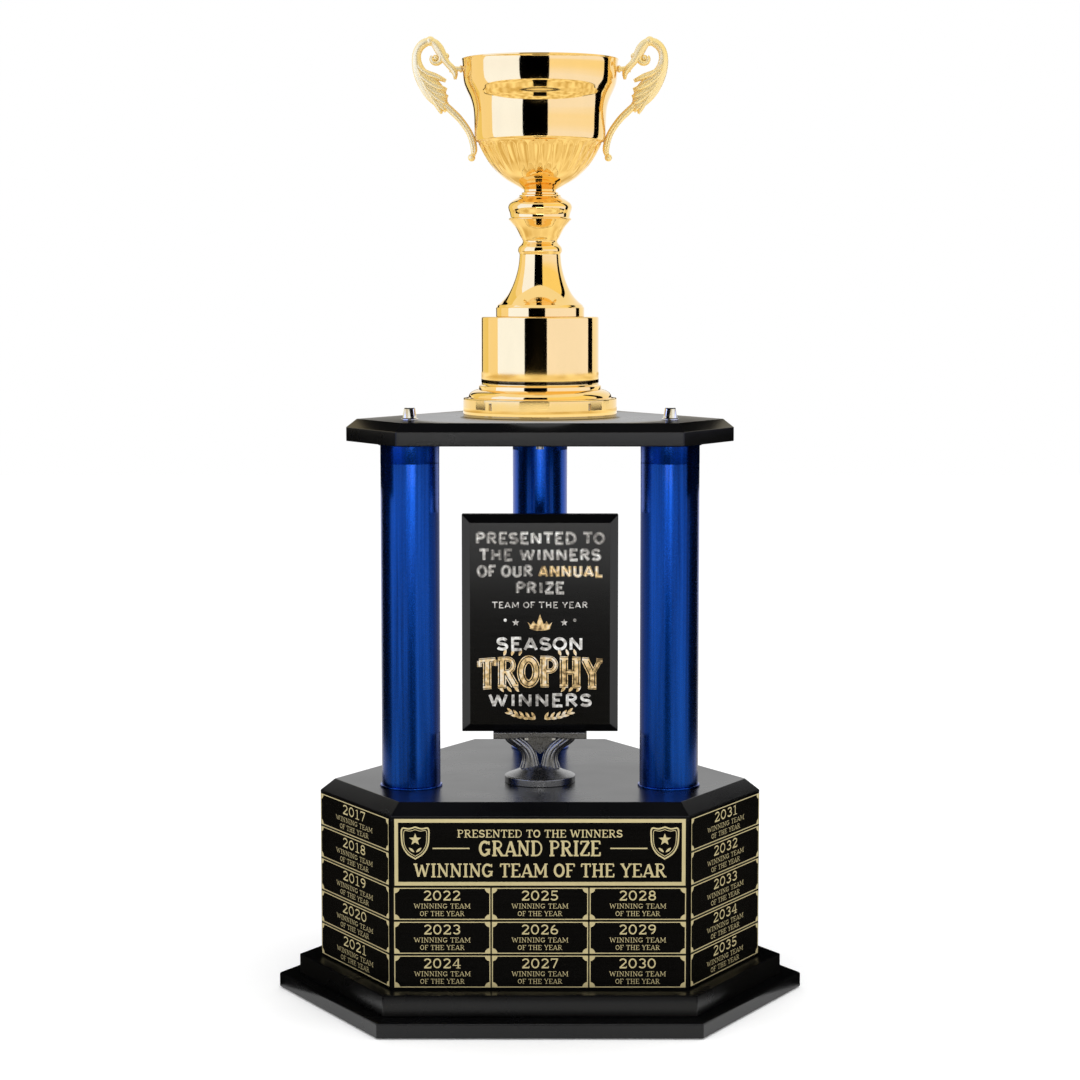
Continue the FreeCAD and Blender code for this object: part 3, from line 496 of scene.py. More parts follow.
def edge_profile(low, high, top_round, bevel_run, bevel_drop):
    """From the middle of the underside round the edge to the top, as (inset, height)."""
    corners = [(6, low), (0, low), (0, high - bevel_drop), (bevel_run, high), (bevel_run + 6, high)]
    radii = [0, EASE * 0.6, top_round, top_round, 0]
    if not bevel_run:
        del corners[2], radii[2]
        corners[2] = (0, high)
    return soften(corners, radii)


for name, node, top_round, bevel_run, bevel_drop in (
        ("lower_plinth", "bottom_plinth", 1.8, 0, 0), ("upper_plinth", "middle_plinth", 1.0, 0, 0),
        ("bevelled_lid", "box_lid", 0.7, 10.4, 9.4), ("bevelled_platform", "platform", 0.6, 7.5, 6.8)):
    low, high = size_of(node)
    make_board(name, edge_profile(low[2], high[2], top_round, bevel_run, bevel_drop),
               board_distances(node), [node])

panel_low, panel_high = size_of("front_panel")
wall = panel_high[1] - panel_low[1]
case = soften_ring([(0, panel_low[2]), (0, panel_high[2]), (wall, panel_high[2]), (wall, panel_low[2])],
                   0.3, 3, 0.3)
make_board("box_case", case, board_distances("box_lid"), [
    f"{side}_panel" for side in ("front", "left", "right", "back", "back_left", "back_right")], closed=True)

# %% [markdown]
# ## Tubes, end caps and cap nuts
# A tube is a straight wall turned once round. The end caps are spun discs with a rolled edge,
# and the cap nuts are turned cones on a thin bright collar.

# %% Tubes and caps
TUBE_SIDES = ("back", "left", "right")
TUBE_WALL = 1
CAP_HOLE, CAP_PLUG, CAP_FLANGE = 3.4, 22.7, 1.8


def middle_of(node):
    low, high = size_of(node)
    return (low + high) / 2


for side in TUBE_SIDES:
    centre = middle_of(f"{side}_column")[:2]
    low, high = size_of(f"{side}_column")
    radius = (high[0] - low[0]) / 2
    bore = radius - TUBE_WALL
    wall = soften_ring([(radius, low[2]), (radius, high[2]), (bore, high[2]), (bore, low[2])], 0.25, 2, 0.2)
    make_piece(f"{side}_foil_tube", [turned(wall, 192, centre)], FOIL, "base",
               [f"{side}_column"])
    low, high = size_of(f"{side}_lower_cap")
    radius = (high[0] - low[0]) / 2
    shoulder = low[2] + CAP_FLANGE
    disc = soften([(CAP_HOLE, low[2]), (radius, low[2]), (radius, shoulder), (CAP_PLUG, shoulder),
                   (CAP_PLUG, high[2]), (CAP_HOLE, high[2])], [0, 0.3, 0.8, 0.1, 1, 0], 5, 0.15)
    make_piece(f"{side}_end_cap", [turned(disc, 128, centre)], FOIL, "base",
               [f"{side}_lower_cap"])
    low, high = size_of(f"{side}_cap_nut")
    base = low[2]
    cone = soften([(0, base), (6.8, base), (6.8, base + 1.2), (5.6, base + 1.5), (4.4, high[2]),
                   (0, high[2])], [0, 0.2, 0.4, 0.3, 0.9, 0], 5, 0.15)
    make_piece(f"{side}_tapered_nut", [turned(cone, 64, centre, closed=False)], CHROME, "base",
               [f"{side}_cap_nut"])

# %% [markdown]
# ## Strokes for figures and letters
# Engraving machines cut figures from strokes of one width, with short slabs at their ends. Each
# figure below is a few strokes on a square one unit tall: heavy ones, light ones and slabs. A
# stroke becomes a closed ribbon, so no font is needed, and a plain letter leaves out its slabs.

# %% Strokes
HEAVY, LIGHT = 0.17, 0.10
BASE, TOP = 0.045, 0.955


def arc(cx, cy, rx, ry, start, end, steps=14):
    """Points of an ellipse from start to end degrees."""
    angle = np.radians(np.linspace(start, end, steps))
    return np.stack([cx + rx * np.cos(angle), cy + ry * np.sin(angle)], 1)


def run(*points):
    return np.array(points, float)


def stem(x, low=0.04, high=0.96):
    return run((x, low), (x, high))


def level(y, start, end):
    """A level stroke at height y."""
    return run((start, y), (end, y))


def foot(*places, half=0.15):
    return [level(BASE, x - half, x + half) for x in places]


def cap(*places, half=0.15):
    return [level(TOP, x - half, x + half) for x in places]


ROUND = arc(0.37, 0.5, 0.28, 0.42, 0, 360, 29)
BOWL = np.vstack([run((0.18, 0.955)), arc(0.36, 0.735, 0.23, 0.22, 90, -90), run((0.18, 0.515))])
FIGURES = {
    "0": (0.70, [arc(0.33, 0.5, 0.24, 0.42, 0, 360, 29)], [], []),
    "1": (0.56, [stem(0.28)], [run((0.28, 0.93), (0.10, 0.82))], foot(0.28, half=0.2)),
    "2": (0.68, [np.vstack([arc(0.32, 0.70, 0.21, 0.22, 165, -30), run((0.12, 0.10))]),
                 level(0.08, 0.08, 0.58)], [stem(0.57, 0.08, 0.24)], []),
    "3": (0.66, [arc(0.31, 0.71, 0.20, 0.21, 155, -85), arc(0.31, 0.29, 0.22, 0.21, 88, -155)], [], []),
    "4": (0.70, [stem(0.45)], [run((0.43, 0.93), (0.08, 0.32)), level(0.30, 0.05, 0.63)],
          foot(0.45)),
    "5": (0.66, [level(0.92, 0.13, 0.54), arc(0.29, 0.32, 0.24, 0.24, 125, -150)],
          [run((0.16, 0.92), (0.14, 0.50))], []),
    "6": (0.68, [arc(0.33, 0.30, 0.22, 0.22, 0, 360, 25), arc(0.48, 0.36, 0.37, 0.56, 180, 105)], [], []),
    "7": (0.64, [level(0.92, 0.08, 0.57), run((0.53, 0.90), (0.25, 0.04))],
          [stem(0.09, 0.92, 0.76)], []),
    "8": (0.68, [arc(0.33, 0.72, 0.18, 0.20, 0, 360, 25), arc(0.33, 0.29, 0.22, 0.21, 0, 360, 25)], [], []),
    "9": (0.68, [arc(0.33, 0.70, 0.22, 0.22, 0, 360, 25), arc(0.18, 0.64, 0.37, 0.56, 0, -75)], [], []),
}
LETTERS = {
    "A": (0.78, [run((0.39, 0.95), (0.67, 0.04))], [run((0.10, 0.04), (0.38, 0.95)),
                                                    level(0.30, 0.19, 0.58)],
          foot(0.11, half=0.12) + foot(0.66)),
    "D": (0.80, [stem(0.18)], [np.vstack([run((0.10, 0.955)), arc(0.34, 0.5, 0.34, 0.455, 90, -90),
                                          run((0.10, 0.045))])], cap(0.13, half=0.1) + foot(0.13, half=0.1)),
    "E": (0.68, [stem(0.17)], [level(TOP, 0.10, 0.59), level(0.51, 0.17, 0.48),
                               level(BASE, 0.10, 0.61)],
          [stem(0.58, 0.95, 0.76), stem(0.60, 0.05, 0.26), *foot(0.12, half=0.09),
           *cap(0.12, half=0.09)]),
    "F": (0.64, [stem(0.17)], [level(TOP, 0.10, 0.59), level(0.50, 0.17, 0.46)],
          [stem(0.58, 0.95, 0.76), *foot(0.19), *cap(0.12, half=0.09)]),
    "G": (0.80, [arc(0.37, 0.5, 0.28, 0.42, 48, 338, 24)], [level(0.42, 0.42, 0.72)],
          [stem(0.63, 0.95, 0.74), stem(0.64, 0.42, 0.10)]),
    "H": (0.84, [stem(0.19), stem(0.64)], [level(0.5, 0.19, 0.64)],
          foot(0.19, 0.64) + cap(0.19, 0.64)),
    "I": (0.40, [stem(0.20)], [], foot(0.20) + cap(0.20)),
    "L": (0.64, [stem(0.18)], [level(BASE, 0.10, 0.60)],
          [stem(0.59, 0.05, 0.28), *foot(0.12, half=0.09), *cap(0.19)]),
    "M": (0.98, [run((0.17, 0.95), (0.48, 0.22)), stem(0.80)],
          [stem(0.16), run((0.48, 0.22), (0.79, 0.95))],
          foot(0.16, half=0.12) + foot(0.80) + cap(0.13, 0.84, half=0.1)),
    "N": (0.84, [run((0.17, 0.95), (0.66, 0.05))], [stem(0.17), stem(0.66)],
          foot(0.17, half=0.13) + cap(0.14, half=0.1) + cap(0.66, half=0.13)),
    "O": (0.76, [ROUND], [], []),
    "P": (0.70, [stem(0.18)], [BOWL], foot(0.19) + cap(0.13, half=0.1)),
    "R": (0.78, [stem(0.18), run((0.36, 0.51), (0.64, 0.04))], [BOWL],
          foot(0.18) + foot(0.68, half=0.09) + cap(0.13, half=0.1)),
    "S": (0.68, [np.vstack([arc(0.33, 0.71, 0.21, 0.21, 20, 250), arc(0.33, 0.29, 0.23, 0.21, 70, -158)])],
          [], [stem(0.54, 0.93, 0.74), stem(0.10, 0.07, 0.28)]),
    "T": (0.72, [stem(0.36)], [level(TOP, 0.06, 0.66)],
          [stem(0.08, 0.95, 0.75), stem(0.64, 0.95, 0.75), *foot(0.36)]),
    "U": (0.82, [np.vstack([run((0.19, 0.96)), arc(0.41, 0.30, 0.22, 0.23, 180, 360), run((0.63, 0.96))])],
          [], cap(0.19) + cap(0.63, half=0.13)),
    "W": (1.10, [run((0.13, 0.95), (0.34, 0.05)), run((0.53, 0.90), (0.76, 0.05))],
          [run((0.34, 0.05), (0.55, 0.90)), run((0.76, 0.05), (0.96, 0.95))],
          cap(0.13, half=0.12) + cap(0.95, half=0.12)),
    "Y": (0.76, [run((0.12, 0.95), (0.38, 0.47)), stem(0.38, 0.04, 0.50)], [run((0.65, 0.95), (0.38, 0.47))],
          foot(0.38) + cap(0.13, half=0.12) + cap(0.64, half=0.11)),
    "Z": (0.68, [run((0.58, 0.92), (0.10, 0.08))], [level(0.94, 0.09, 0.60),
                                                    level(0.06, 0.08, 0.61)],
          [stem(0.11, 0.94, 0.76), stem(0.60, 0.06, 0.25)]),
    " ": (0.34, [], [], []),
}
GLYPHS = {**FIGURES, **LETTERS}
print(len(GLYPHS), "characters drawn as strokes")


# %% Ribbons and flat shapes
def ribbon(path, width, low, high):
    """A closed strip of even width along a path, from height low to high.

    Each point moves sideways by half the width over the cosine of half the turn there."""
    path = np.asarray(path, float)
    ring = np.linalg.norm(path[0] - path[-1]) < 1e-9
    if ring:
        path = path[:-1]
        ahead = np.roll(path, -1, axis=0) - path
        back = np.roll(ahead, 1, axis=0)
    else:
        steps = np.diff(path, axis=0)
        ahead = np.vstack([steps, steps[-1:]])
        back = np.vstack([steps[:1], steps])
    ahead = ahead / np.linalg.norm(ahead, axis=1)[:, None]
    back = back / np.linalg.norm(back, axis=1)[:, None]
    middle = ahead + back
    middle /= np.linalg.norm(middle, axis=1)[:, None]
    side = np.stack([-middle[:, 1], middle[:, 0]], 1) * (width / 2)
    side /= np.maximum((middle * ahead).sum(1), 0.5)[:, None]
    corners = [np.column_stack([path + sign * side, np.full(len(path), height)])
               for sign, height in ((1, high), (1, low), (-1, low), (-1, high))]
    faces = grid_faces(len(path), 4, wrap_rows=ring).tolist()
    if not ring:
        last = 4 * (len(path) - 1)
        faces += [[3, 2, 1, 0], [last, last + 1, last + 2, last + 3]]
    return np.stack(corners, axis=1).reshape(-1, 3), faces


def flat_shape(outline, low, high):
    """A flat shape with straight sides from height low to high."""
    outline = np.asarray(outline, float)
    count = len(outline)
    points = np.vstack([np.column_stack([outline, np.full(count, height)]) for height in (low, high)])
    faces = grid_faces(2, count).tolist() + [list(range(count))[::-1], list(range(count, 2 * count))]
    return points, faces


def word_width(word, tall, spread=1.0):
    return sum(GLYPHS[letter][0] for letter in word) * tall * spread


def lettering(word, tall, centre, low, high, spread=1.0, weight=1.0, bend=0.0, plain=False):
    """A word as ribbons centred on a point. bend lifts its middle by a parabola, and each
    stroke is a few hundredths higher than the last, so that no two tops lie in one plane."""
    parts = []
    wide = word_width(word, tall, spread)
    x = centre[0] - wide / 2
    for letter in word:
        advance, heavy, light, slabs = GLYPHS[letter]
        strokes = [(HEAVY, path) for path in heavy]
        strokes += [(HEAVY if plain else LIGHT, path) for path in light]
        strokes += [] if plain else [(LIGHT, path) for path in slabs]
        for order, (width, path) in enumerate(strokes):
            place = path * (tall * spread, tall) + (x, centre[1] - tall / 2)
            place[:, 1] += bend * (1 - (2 * (place[:, 0] - centre[0]) / wide) ** 2)
            lift = 0.005 * order
            parts.append(ribbon(place, width * tall * weight, low + lift, high + lift))
        x += advance * tall * spread
    return parts


def star(centre, radius, low, high):
    """A five-pointed star: ten points on two circles in turn."""
    angle = math.pi / 2 + np.arange(10) * TAU / 10
    reach = np.where(np.arange(10) % 2 == 0, radius, radius * 0.42)
    return flat_shape(np.stack([reach * np.cos(angle), reach * np.sin(angle)], 1) + centre, low, high)


def leaf(root, length, degrees, low, high, fat=0.34):
    """A laurel leaf: two sine arcs that meet in points."""
    t = np.linspace(0, 1, 9)
    edge = fat * np.abs(np.sin(math.pi * t)) ** 0.8 / 2
    outline = np.vstack([np.stack([t, -edge], 1), np.stack([t[-2:0:-1], edge[-2:0:-1]], 1)]) * length
    turn = math.radians(degrees)
    spin = np.array([[math.cos(turn), math.sin(turn)], [-math.sin(turn), math.cos(turn)]])
    return flat_shape(outline @ spin + root, low, high)


# %% [markdown]
# ## Engraved plates
# Each plate is thin metal with a black coating. The engraver cuts a line round the edge, the
# quarter discs in the corners, the year, and lines for the name. They are pale gold, and are
# raised here by less than a tenth of a millimetre, so that they are real geometry.

# %% Plates
LINE_LOW, LINE_HIGH = -0.05, 0.05


def plate_frame(node):
    """Where a plate lies: the middle of its face, the ways right and up, and its half sizes."""
    points = np.array([vertex.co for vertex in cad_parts[node].data.vertices]) / MM
    middle = (points.min(0) + points.max(0)) / 2
    turn = {"left": -60, "right": 60}.get(node.split("_")[0], 0)
    outward = np.array([math.sin(math.radians(turn)), -math.cos(math.radians(turn)), 0.0])
    right = np.cross([0.0, 0.0, 1.0], outward)
    along = points @ outward
    middle = middle + outward * (along.max() - middle @ outward)
    return middle, right, np.ptp(points @ right) / 2, np.ptp(points[:, 2]) / 2, np.ptp(along)


def on_wall(parts, middle, right):
    return [placed(part, middle, right, (0, 0, 1)) for part in parts]


def border(half_wide, half_tall, inset, width, low, high):
    """A flat frame round a plate."""
    a, b = half_wide - inset - width / 2, half_tall - inset - width / 2
    return ribbon([(-a, -b), (a, -b), (a, b), (-a, b), (-a, -b)], width, low, high)


def corner_disc(x, y, radius, low, high):
    """A quarter disc that fills one corner of a plate."""
    start = {(-1, -1): 0, (1, -1): 90, (1, 1): 180, (-1, 1): 270}[int(np.sign(x)), int(np.sign(y))]
    return flat_shape(np.vstack([[(x, y)], arc(x, y, radius, radius, start, start + 90, 9)]), low, high)


def plate_blank(half_wide, half_tall, thick):
    profile = soften([(3, -thick), (0, -thick), (0, 0), (3, 0)], [0, 0.05, 0.12, 0], 2, 0.1)
    return slab((-90, 0, 90, 180), (half_tall, half_wide, half_tall, half_wide), profile, 0.3)


def make_plate(node, year):
    middle, right, a, b, thick = plate_frame(node)
    make_piece(f"{node}_metal", on_wall([plate_blank(a, b, thick)], middle, right), PLATE, "base",
               [node])
    parts = [border(a, b, 0.35, 0.75, LINE_LOW, LINE_HIGH)]
    parts += [corner_disc(x * (a - 0.4), y * (b - 0.4), 4.4, LINE_LOW, LINE_HIGH + 0.01)
              for x in (-1, 1) for y in (-1, 1)]
    wider = min(a / 38, 1.5)
    for words, tall, up, spread, weight in (
            (str(year), 8.2, 6.6, 1.34, 0.78), ("WINNING TEAM", 4.0, -1.8, 1.28, 0.62),
            ("OF THE YEAR", 4.0, -7.8, 1.2, 0.62)):
        parts += lettering(words, tall, (0, up), LINE_LOW, LINE_HIGH, spread * wider, weight)
    make_piece(f"{node}_engraving", on_wall(parts, middle, right), ENGRAVED, "base")


for row in range(5):
    make_plate(f"left_plate_{row + 1}", 2017 + row)
    make_plate(f"right_plate_{row + 1}", 2031 + row)
for number in range(9):
    make_plate(f"front_plate_{number + 1}", 2022 + number)

# %% [markdown]
# ## Header plate
# The wide plate over the years names the award. It has a broad gold border, a plain shield with
# a star at each side, a title between two rules, and words that any award could carry.

# %% Header plate
def shield_line(scale):
    """A plain shield: a shallow peak above, and sides that curve in to a point."""
    half = flow([(0, 12.4), (5.0, 11.0), (10.0, 11.4), (10.6, 4.0), (9.6, -3.0), (6.0, -8.8),
                 (0, -12.8)], 4)
    return np.vstack([half, half[-2::-1] * (-1, 1)]) * scale


middle, right, a, b, thick = plate_frame("header_plate")
make_piece("header_metal", on_wall([plate_blank(a, b, thick)], middle, right), PLATE, "base",
           ["header_plate"])
parts = [border(a, b, 0.2, 2.9, LINE_LOW, 0.25)]
for words, tall, up, spread, weight in (
        ("PRESENTED TO THE WINNERS", 6.2, 14.8, 1.26, 0.95), ("GRAND PRIZE", 12.4, 3.1, 1.02, 1.0),
        ("WINNING TEAM OF THE YEAR", 11.0, -14.4, 1.1, 0.95)):
    parts += lettering(words, tall, (0, up), LINE_LOW, LINE_HIGH, spread, weight)
for side in (-1, 1):
    parts.append(ribbon([(side * 55, 3.1), (side * 84, 3.1)], 1.0, LINE_LOW, LINE_HIGH))
    badge = np.array([side * 97.6, 7.6])
    parts += [ribbon(shield_line(scale) + badge, width, LINE_LOW, LINE_HIGH)
              for scale, width in ((1.0, 1.2), (0.84, 0.5))]
    parts.append(star(badge + (0, 2.4), 5.0, LINE_LOW, LINE_HIGH))
    parts += [leaf(badge + (mirror * 0.6, -7.6), 5.6, 90 - mirror * 50, LINE_LOW, LINE_HIGH)
              for mirror in (-1, 1)]
make_piece("header_engraving", on_wall(parts, middle, right), ENGRAVED, "base")

# %% [markdown]
# ## Plaque
# The plaque is a board with a wide bevel round a glossy black face. The face carries a
# printed design in bright gold and silver, with a fine raised outline round each letter.

# %% Plaque board and face
EAST = np.array([1.0, 0, 0])
RECTANGLE = (-90, 0, 90, 180)
board_low, board_high = size_of("plaque_board")
plate_low, plate_high = size_of("plaque_plate")
half_wide, depth, half_tall = (board_high - board_low) / (2, 1, 2)
board_middle = np.array([0, board_low[1], (board_low[2] + board_high[2]) / 2])
profile = soften([(6, -depth), (0, -depth), (0, -4.5), (6.6, 0), (12, 0)], [0, 1.2, 0.8, 0.5, 0])
make_piece("plaque_bevelled_board",
           on_wall([slab(RECTANGLE, (half_tall, half_wide) * 2, profile, 0.8)], board_middle, EAST),
           LACQUER, "plaque", ["plaque_board"])
face_wide, thick, face_tall = (plate_high - plate_low) / (2, 1, 2)
face_middle = np.array([0, plate_low[1], (plate_low[2] + plate_high[2]) / 2])
make_piece("plaque_black_face",
           on_wall([plate_blank(face_wide, face_tall, thick)], face_middle, EAST),
           PLATE, "plaque", ["plaque_plate"])


# %% Plaque design
def outlined(words, tall, centre, metal, spread=1.0, bend=0.0, plain=True, weight=1.15):
    """Raised letters in three layers: a bright rim, a dark gap and a bright core."""
    for layer, low, high, share in ((metal, -0.1, 0.20, 1.45), (gaps, 0.1, 0.25, 1.1),
                                    (metal, 0.2, 0.30, 0.72)):
        layer += lettering(words, tall, centre, low, high, spread, share * weight, bend, plain)


def at(x, up):
    """A place on the design: x from its middle, and up from the board's lower edge."""
    return np.array([x, up - face_middle[2] + board_low[2]])


def crown(centre, wide, low, high):
    """A plain crown: a curved band under five points."""
    band = arc(0, 0.24, 0.42, 0.12, 200, 340, 12) * wide + centre
    tips = [(-0.5, 0.42), (-0.36, 0.30), (-0.27, 0.46), (-0.15, 0.32), (0, 0.74), (0.15, 0.32),
            (0.27, 0.46), (0.36, 0.30), (0.5, 0.42)]
    lower = [(0.40, 0.20), (0.2, 0.145), (0.0, 0.13), (-0.2, 0.145), (-0.40, 0.20)]
    outline = np.array(tips[::-1] + lower[::-1]) * wide + centre
    return [ribbon(band, 0.10 * wide, low, high), flat_shape(outline, low, high + 0.03)]


silver, gold, gaps = [], [], []
SAYING = 9.0
for words, up in (("PRESENTED TO", 158.7), ("THE WINNERS", 145.2), ("PRIZE", 118.4)):
    outlined(words, SAYING, at(0, up), silver, 1.4)
first, last, spread = "OF OUR ", "ANNUAL", 1.24
first_wide, last_wide = (word_width(words, SAYING, spread) for words in (first, last))
outlined(first, SAYING, at(-last_wide / 2, 131.9), silver, spread)
outlined(last, SAYING, at(first_wide / 2, 131.9), gold, spread)
outlined("TROPHY", 24.0, at(0, 47.6), gold, 0.93, 2.4, plain=False, weight=1.1)
for words, tall, up, top, spread, weight in (
        ("TEAM OF THE YEAR", 5.0, 104.4, 0.2, 1.45, 1.0), ("SEASON", 10.2, 72.6, 0.22, 1.6, 1.35),
        ("WINNERS", 10.2, 26.4, 0.22, 1.58, 1.35)):
    silver += lettering(words, tall, at(0, up), -0.1, top, spread, weight, plain=True)
gold += crown(at(0, 82.0), 20.0, -0.1, 0.2)
for side in (-1, 1):
    silver.append(star(at(side * 19.7, 90.0), 3.0, -0.1, 0.2))
    silver.append(flat_shape(arc(0, 0, 1.3, 1.3, 0, 337.5, 16) + at(side * 28.2, 92.0), -0.1, 0.2))
    for step in range(5):
        root = at(side * (3.6 + 4.6 * step), 11.0 + 0.28 * step * step)
        gold += [leaf(root, 6.6, 90 - side * turn, -0.1, 0.2, 0.34) for turn in (30 + 4 * step, 84)]
    for up, turn in ((62.8, -20), (33.2, 40)):
        gold += [leaf(at(side * (17 + 6.2 * step), up), 6.0, 90 - side * turn, -0.1, 0.15, 0.4)
                 for step in range(3)]
for name, parts, finish in (("plaque_silver_print", silver, PRINT_SILVER),
                            ("plaque_gold_print", gold, PRINT_GOLD), ("plaque_print_gaps", gaps, PLATE)):
    make_piece(name, on_wall(parts, face_middle, EAST), finish, "plaque")

# %% [markdown]
# ## Stand
# A metal casting holds the plaque: a round foot with a dome, two ribbed arms that spread from
# a narrow waist, and a bar with a shallow bow under it. The foot is turned, and the arms are
# bars of changing width swept along curves.

# %% Stand
lid_top = size_of("box_lid")[1][2]
stand_y = middle_of("plaque_stand")[1]
foot_profile = flow([(0, 13.6), (7, 13.4), (14, 11.6), (20, 9.0), (25.2, 7.0), (27.6, 6.2)], 6)
foot_edge = soften([(27.6, 6.2), (28.8, 5.6), (28.8, 0), (27.4, 0)], [0, 0.7, 0.5, 0], 6, 0.2)
foot_profile = np.vstack([foot_profile, foot_edge[1:], [(0, 0)]]) + (0, lid_top)
stand_parts = [turned(foot_profile, 128, (0, stand_y), closed=False)]


def ribbed(count, deep):
    """Grooves along a bar: the section shrinks by deep where cos(count a) is near 1."""
    return lambda t, angle: 1 - deep * np.clip(np.cos(count * angle), 0, 1) ** 3


def stand_arm(side):
    """One arm: its middle line goes up and outwards, and its half width grows with it."""
    table = flow([(8.2, 11.6, 8.6), (8.2, 14.2, 7.6), (8.2, 17.6, 6.6), (8.8, 21.6, 6.0),
                  (10.6, 25.8, 5.4), (13.8, 29.6, 5.2), (17.8, 32.8, 5.4), (21.2, 35.4, 5.8),
                  (22.8, 37.4, 6.4), (23.2, 39.4, 6.8)], 6)
    path = table[:, :2] * (side, 1) + (0, lid_top)
    points, faces = swept(path, table[:, 2], np.full(len(table), 6.4), 48, ribbed(8, 0.13))
    return points + (0, stand_y, 0), faces


def bar(stations, half_deep, low, high):
    """A bar along X whose underside is the curve low(x): a rounded box section at each x."""
    ring = soften_ring([(-1, 0), (1, 0), (1, 1), (-1, 1)], 0.12, 4, 0.02)
    x = np.asarray(stations, float)[:, None]
    bottom = low(x)
    y = ring[None, :, 0] * half_deep + 0 * x
    z = bottom + ring[None, :, 1] * (high - bottom)
    points = np.stack([x + 0 * y, y, z], -1)
    faces = grid_faces(len(stations), len(ring)).tolist()
    last = (len(stations) - 1) * len(ring)
    faces += [list(range(len(ring)))[::-1], list(range(last, last + len(ring)))]
    return points, faces


def underside(x):
    """The bar's underside: flat at the ends, and bowed up by a parabola between the arms."""
    return top - 5.5 + 1.6 * np.clip(1 - (x / (half_bar - 16)) ** 2, 0, 1)


cradle_low, cradle_high = size_of("plaque_stand")
half_bar = (cradle_high[0] - cradle_low[0]) / 2
top = cradle_high[2]
stations = np.concatenate([[-half_bar, -half_bar + 0.5], np.linspace(-half_bar + 1, half_bar - 1, 41),
                           [half_bar - 0.5, half_bar]])
points, faces = bar(stations, 8.5, underside, top)
web = flat_shape([(0.0, 23.0), (4.5, 26.5), (11, 34.0), (13, 37.0), (-13, 37.0), (-11, 34.0),
                  (-4.5, 26.5)], -2.6, 2.6)
stand_parts += [stand_arm(-1), stand_arm(1), (points + (0, stand_y, 0), faces),
                *on_wall([web], (0, stand_y, lid_top), EAST)]
make_piece("plaque_stand_casting", stand_parts, GRAPHITE, "plaque", ["plaque_stand"], 50)

# %% [markdown]
# ## Cup
# The cup is spun: each shell is a profile turned round the axis. The riser has a banded foot,
# the stem flares like a bell to a bead, and the knob swells over it. The bowl has a ring of
# small flutes pressed in above its base, then a waist, and a rolled rim.

# %% Spun shells
def foot_and_height(node):
    """A shell's lowest height in the frame, and how tall it is."""
    low, high = size_of(node)
    return low[2], high[2] - low[2]


def make_shell(name, profile, node, turns=192, shape=None):
    """A profile of (r, height above the shell's foot), turned round the axis."""
    base, _ = foot_and_height(node)
    make_piece(name, [turned(profile + (0, base), turns, closed=False, shape=shape)], GILT, "cup", [node],
               40)


_, top = foot_and_height("cup_riser")
riser = np.vstack([
    [(0, 0)],
    soften([(62, 0), (63.2, 0), (63.2, 15.6), (60, 15.9)], [0, 0.4, 1.1, 0], 6, 0.2),
    flow([(59.2, 16.2), (58.3, 18.2), (56.5, 20.2), (53.4, 21.8), (51.4, 22.4)], 5),
    soften([(50.6, 22.5), (50.2, 25.4), (48.2, 26.6), (48.2, top), (36, top)],
           [0, 0.6, 0.8, 1.2, 0], 6, 0.3),
    [(0, top)]])
make_shell("spun_riser", riser, "cup_riser")

_, top = foot_and_height("cup_stem")
bell = np.vstack([
    [(0, 0)],
    soften([(35.4, 0), (36.3, 0), (36.3, 7.3), (35.2, 8.6)], [0, 0.4, 0.9, 0], 5, 0.2),
    flow([(35.0, 9.4), (31.4, 12.4), (26.3, 18.3), (21.9, 27.0), (19.0, 35.7), (17.5, 43.0),
          (16.8, 50.4)], 8),
    flow([(17.0, 51.2), (18.0, 53.2), (17.6, 56.4), (15.0, 59.6), (14.1, 61.4), (16.0, 65.0),
          (19.7, 72.1), (23.4, 76.6), (25.7, top)], 8),
    [(0, top)]])
make_shell("spun_stem", bell, "cup_stem")

_, top = foot_and_height("cup_knob")
knob = np.vstack([
    [(0, 0)],
    soften([(24.6, 0), (25.9, 0), (25.4, 0.9), (24.4, 1.5)], [0, 0.3, 0.3, 0], 4, 0.1),
    flow([(24.2, 1.9), (24.6, 4.4), (25.9, 8.4), (26.1, 10.4), (25.0, 13.0), (21.8, 15.6),
          (18.4, 17.4)], 8),
    soften([(18.2, 17.7), (17.0, 18.6), (17.0, 19.8), (15.0, 20.2), (15.0, 21.8), (13.2, 22.4),
            (13.0, top)], [0, 0.5, 0.5, 0.4, 0.4, 0.5, 0], 4, 0.1),
    [(0, top)]])
make_shell("spun_knob", knob, "cup_knob")

# %% Bowl
RIM_DROP = 0.8
FLUTES = 32
bowl_foot, bowl_height = foot_and_height("cup_bowl")
rim = bowl_height - RIM_DROP
FLUTE_LOW, FLUTE_HIGH = bowl_foot + 13.4, bowl_foot + 37.4
outside = np.vstack([
    [(0, 0)],
    flow([(13.8, 0), (15.2, 1.0), (19.4, 3.4), (24.2, 6.0), (29.2, 9.2), (33.6, 12.9), (37.4, 16.8),
          (40.8, 20.8), (44.6, 26.6), (47.8, 32.4), (49.6, 36.0), (50.4, 37.6)], 6),
    flow([(51.2, 38.4), (52.5, 39.6), (53.2, 42.4), (53.6, 47.0), (53.8, 54.0), (54.0, 60.0),
          (54.7, 66.5), (56.6, 73.2), (59.5, 79.4), (61.8, 85.2), (62.8, 91.6), (63.2, 100.0)], 6),
    soften([(63.4, rim - 1.6), (63.9, rim - 1.0), (63.9, rim), (62.6, rim), (62.0, rim - 1.6)],
           [0, 0.5, 0.5, 0.5, 0], 5, 0.05)])
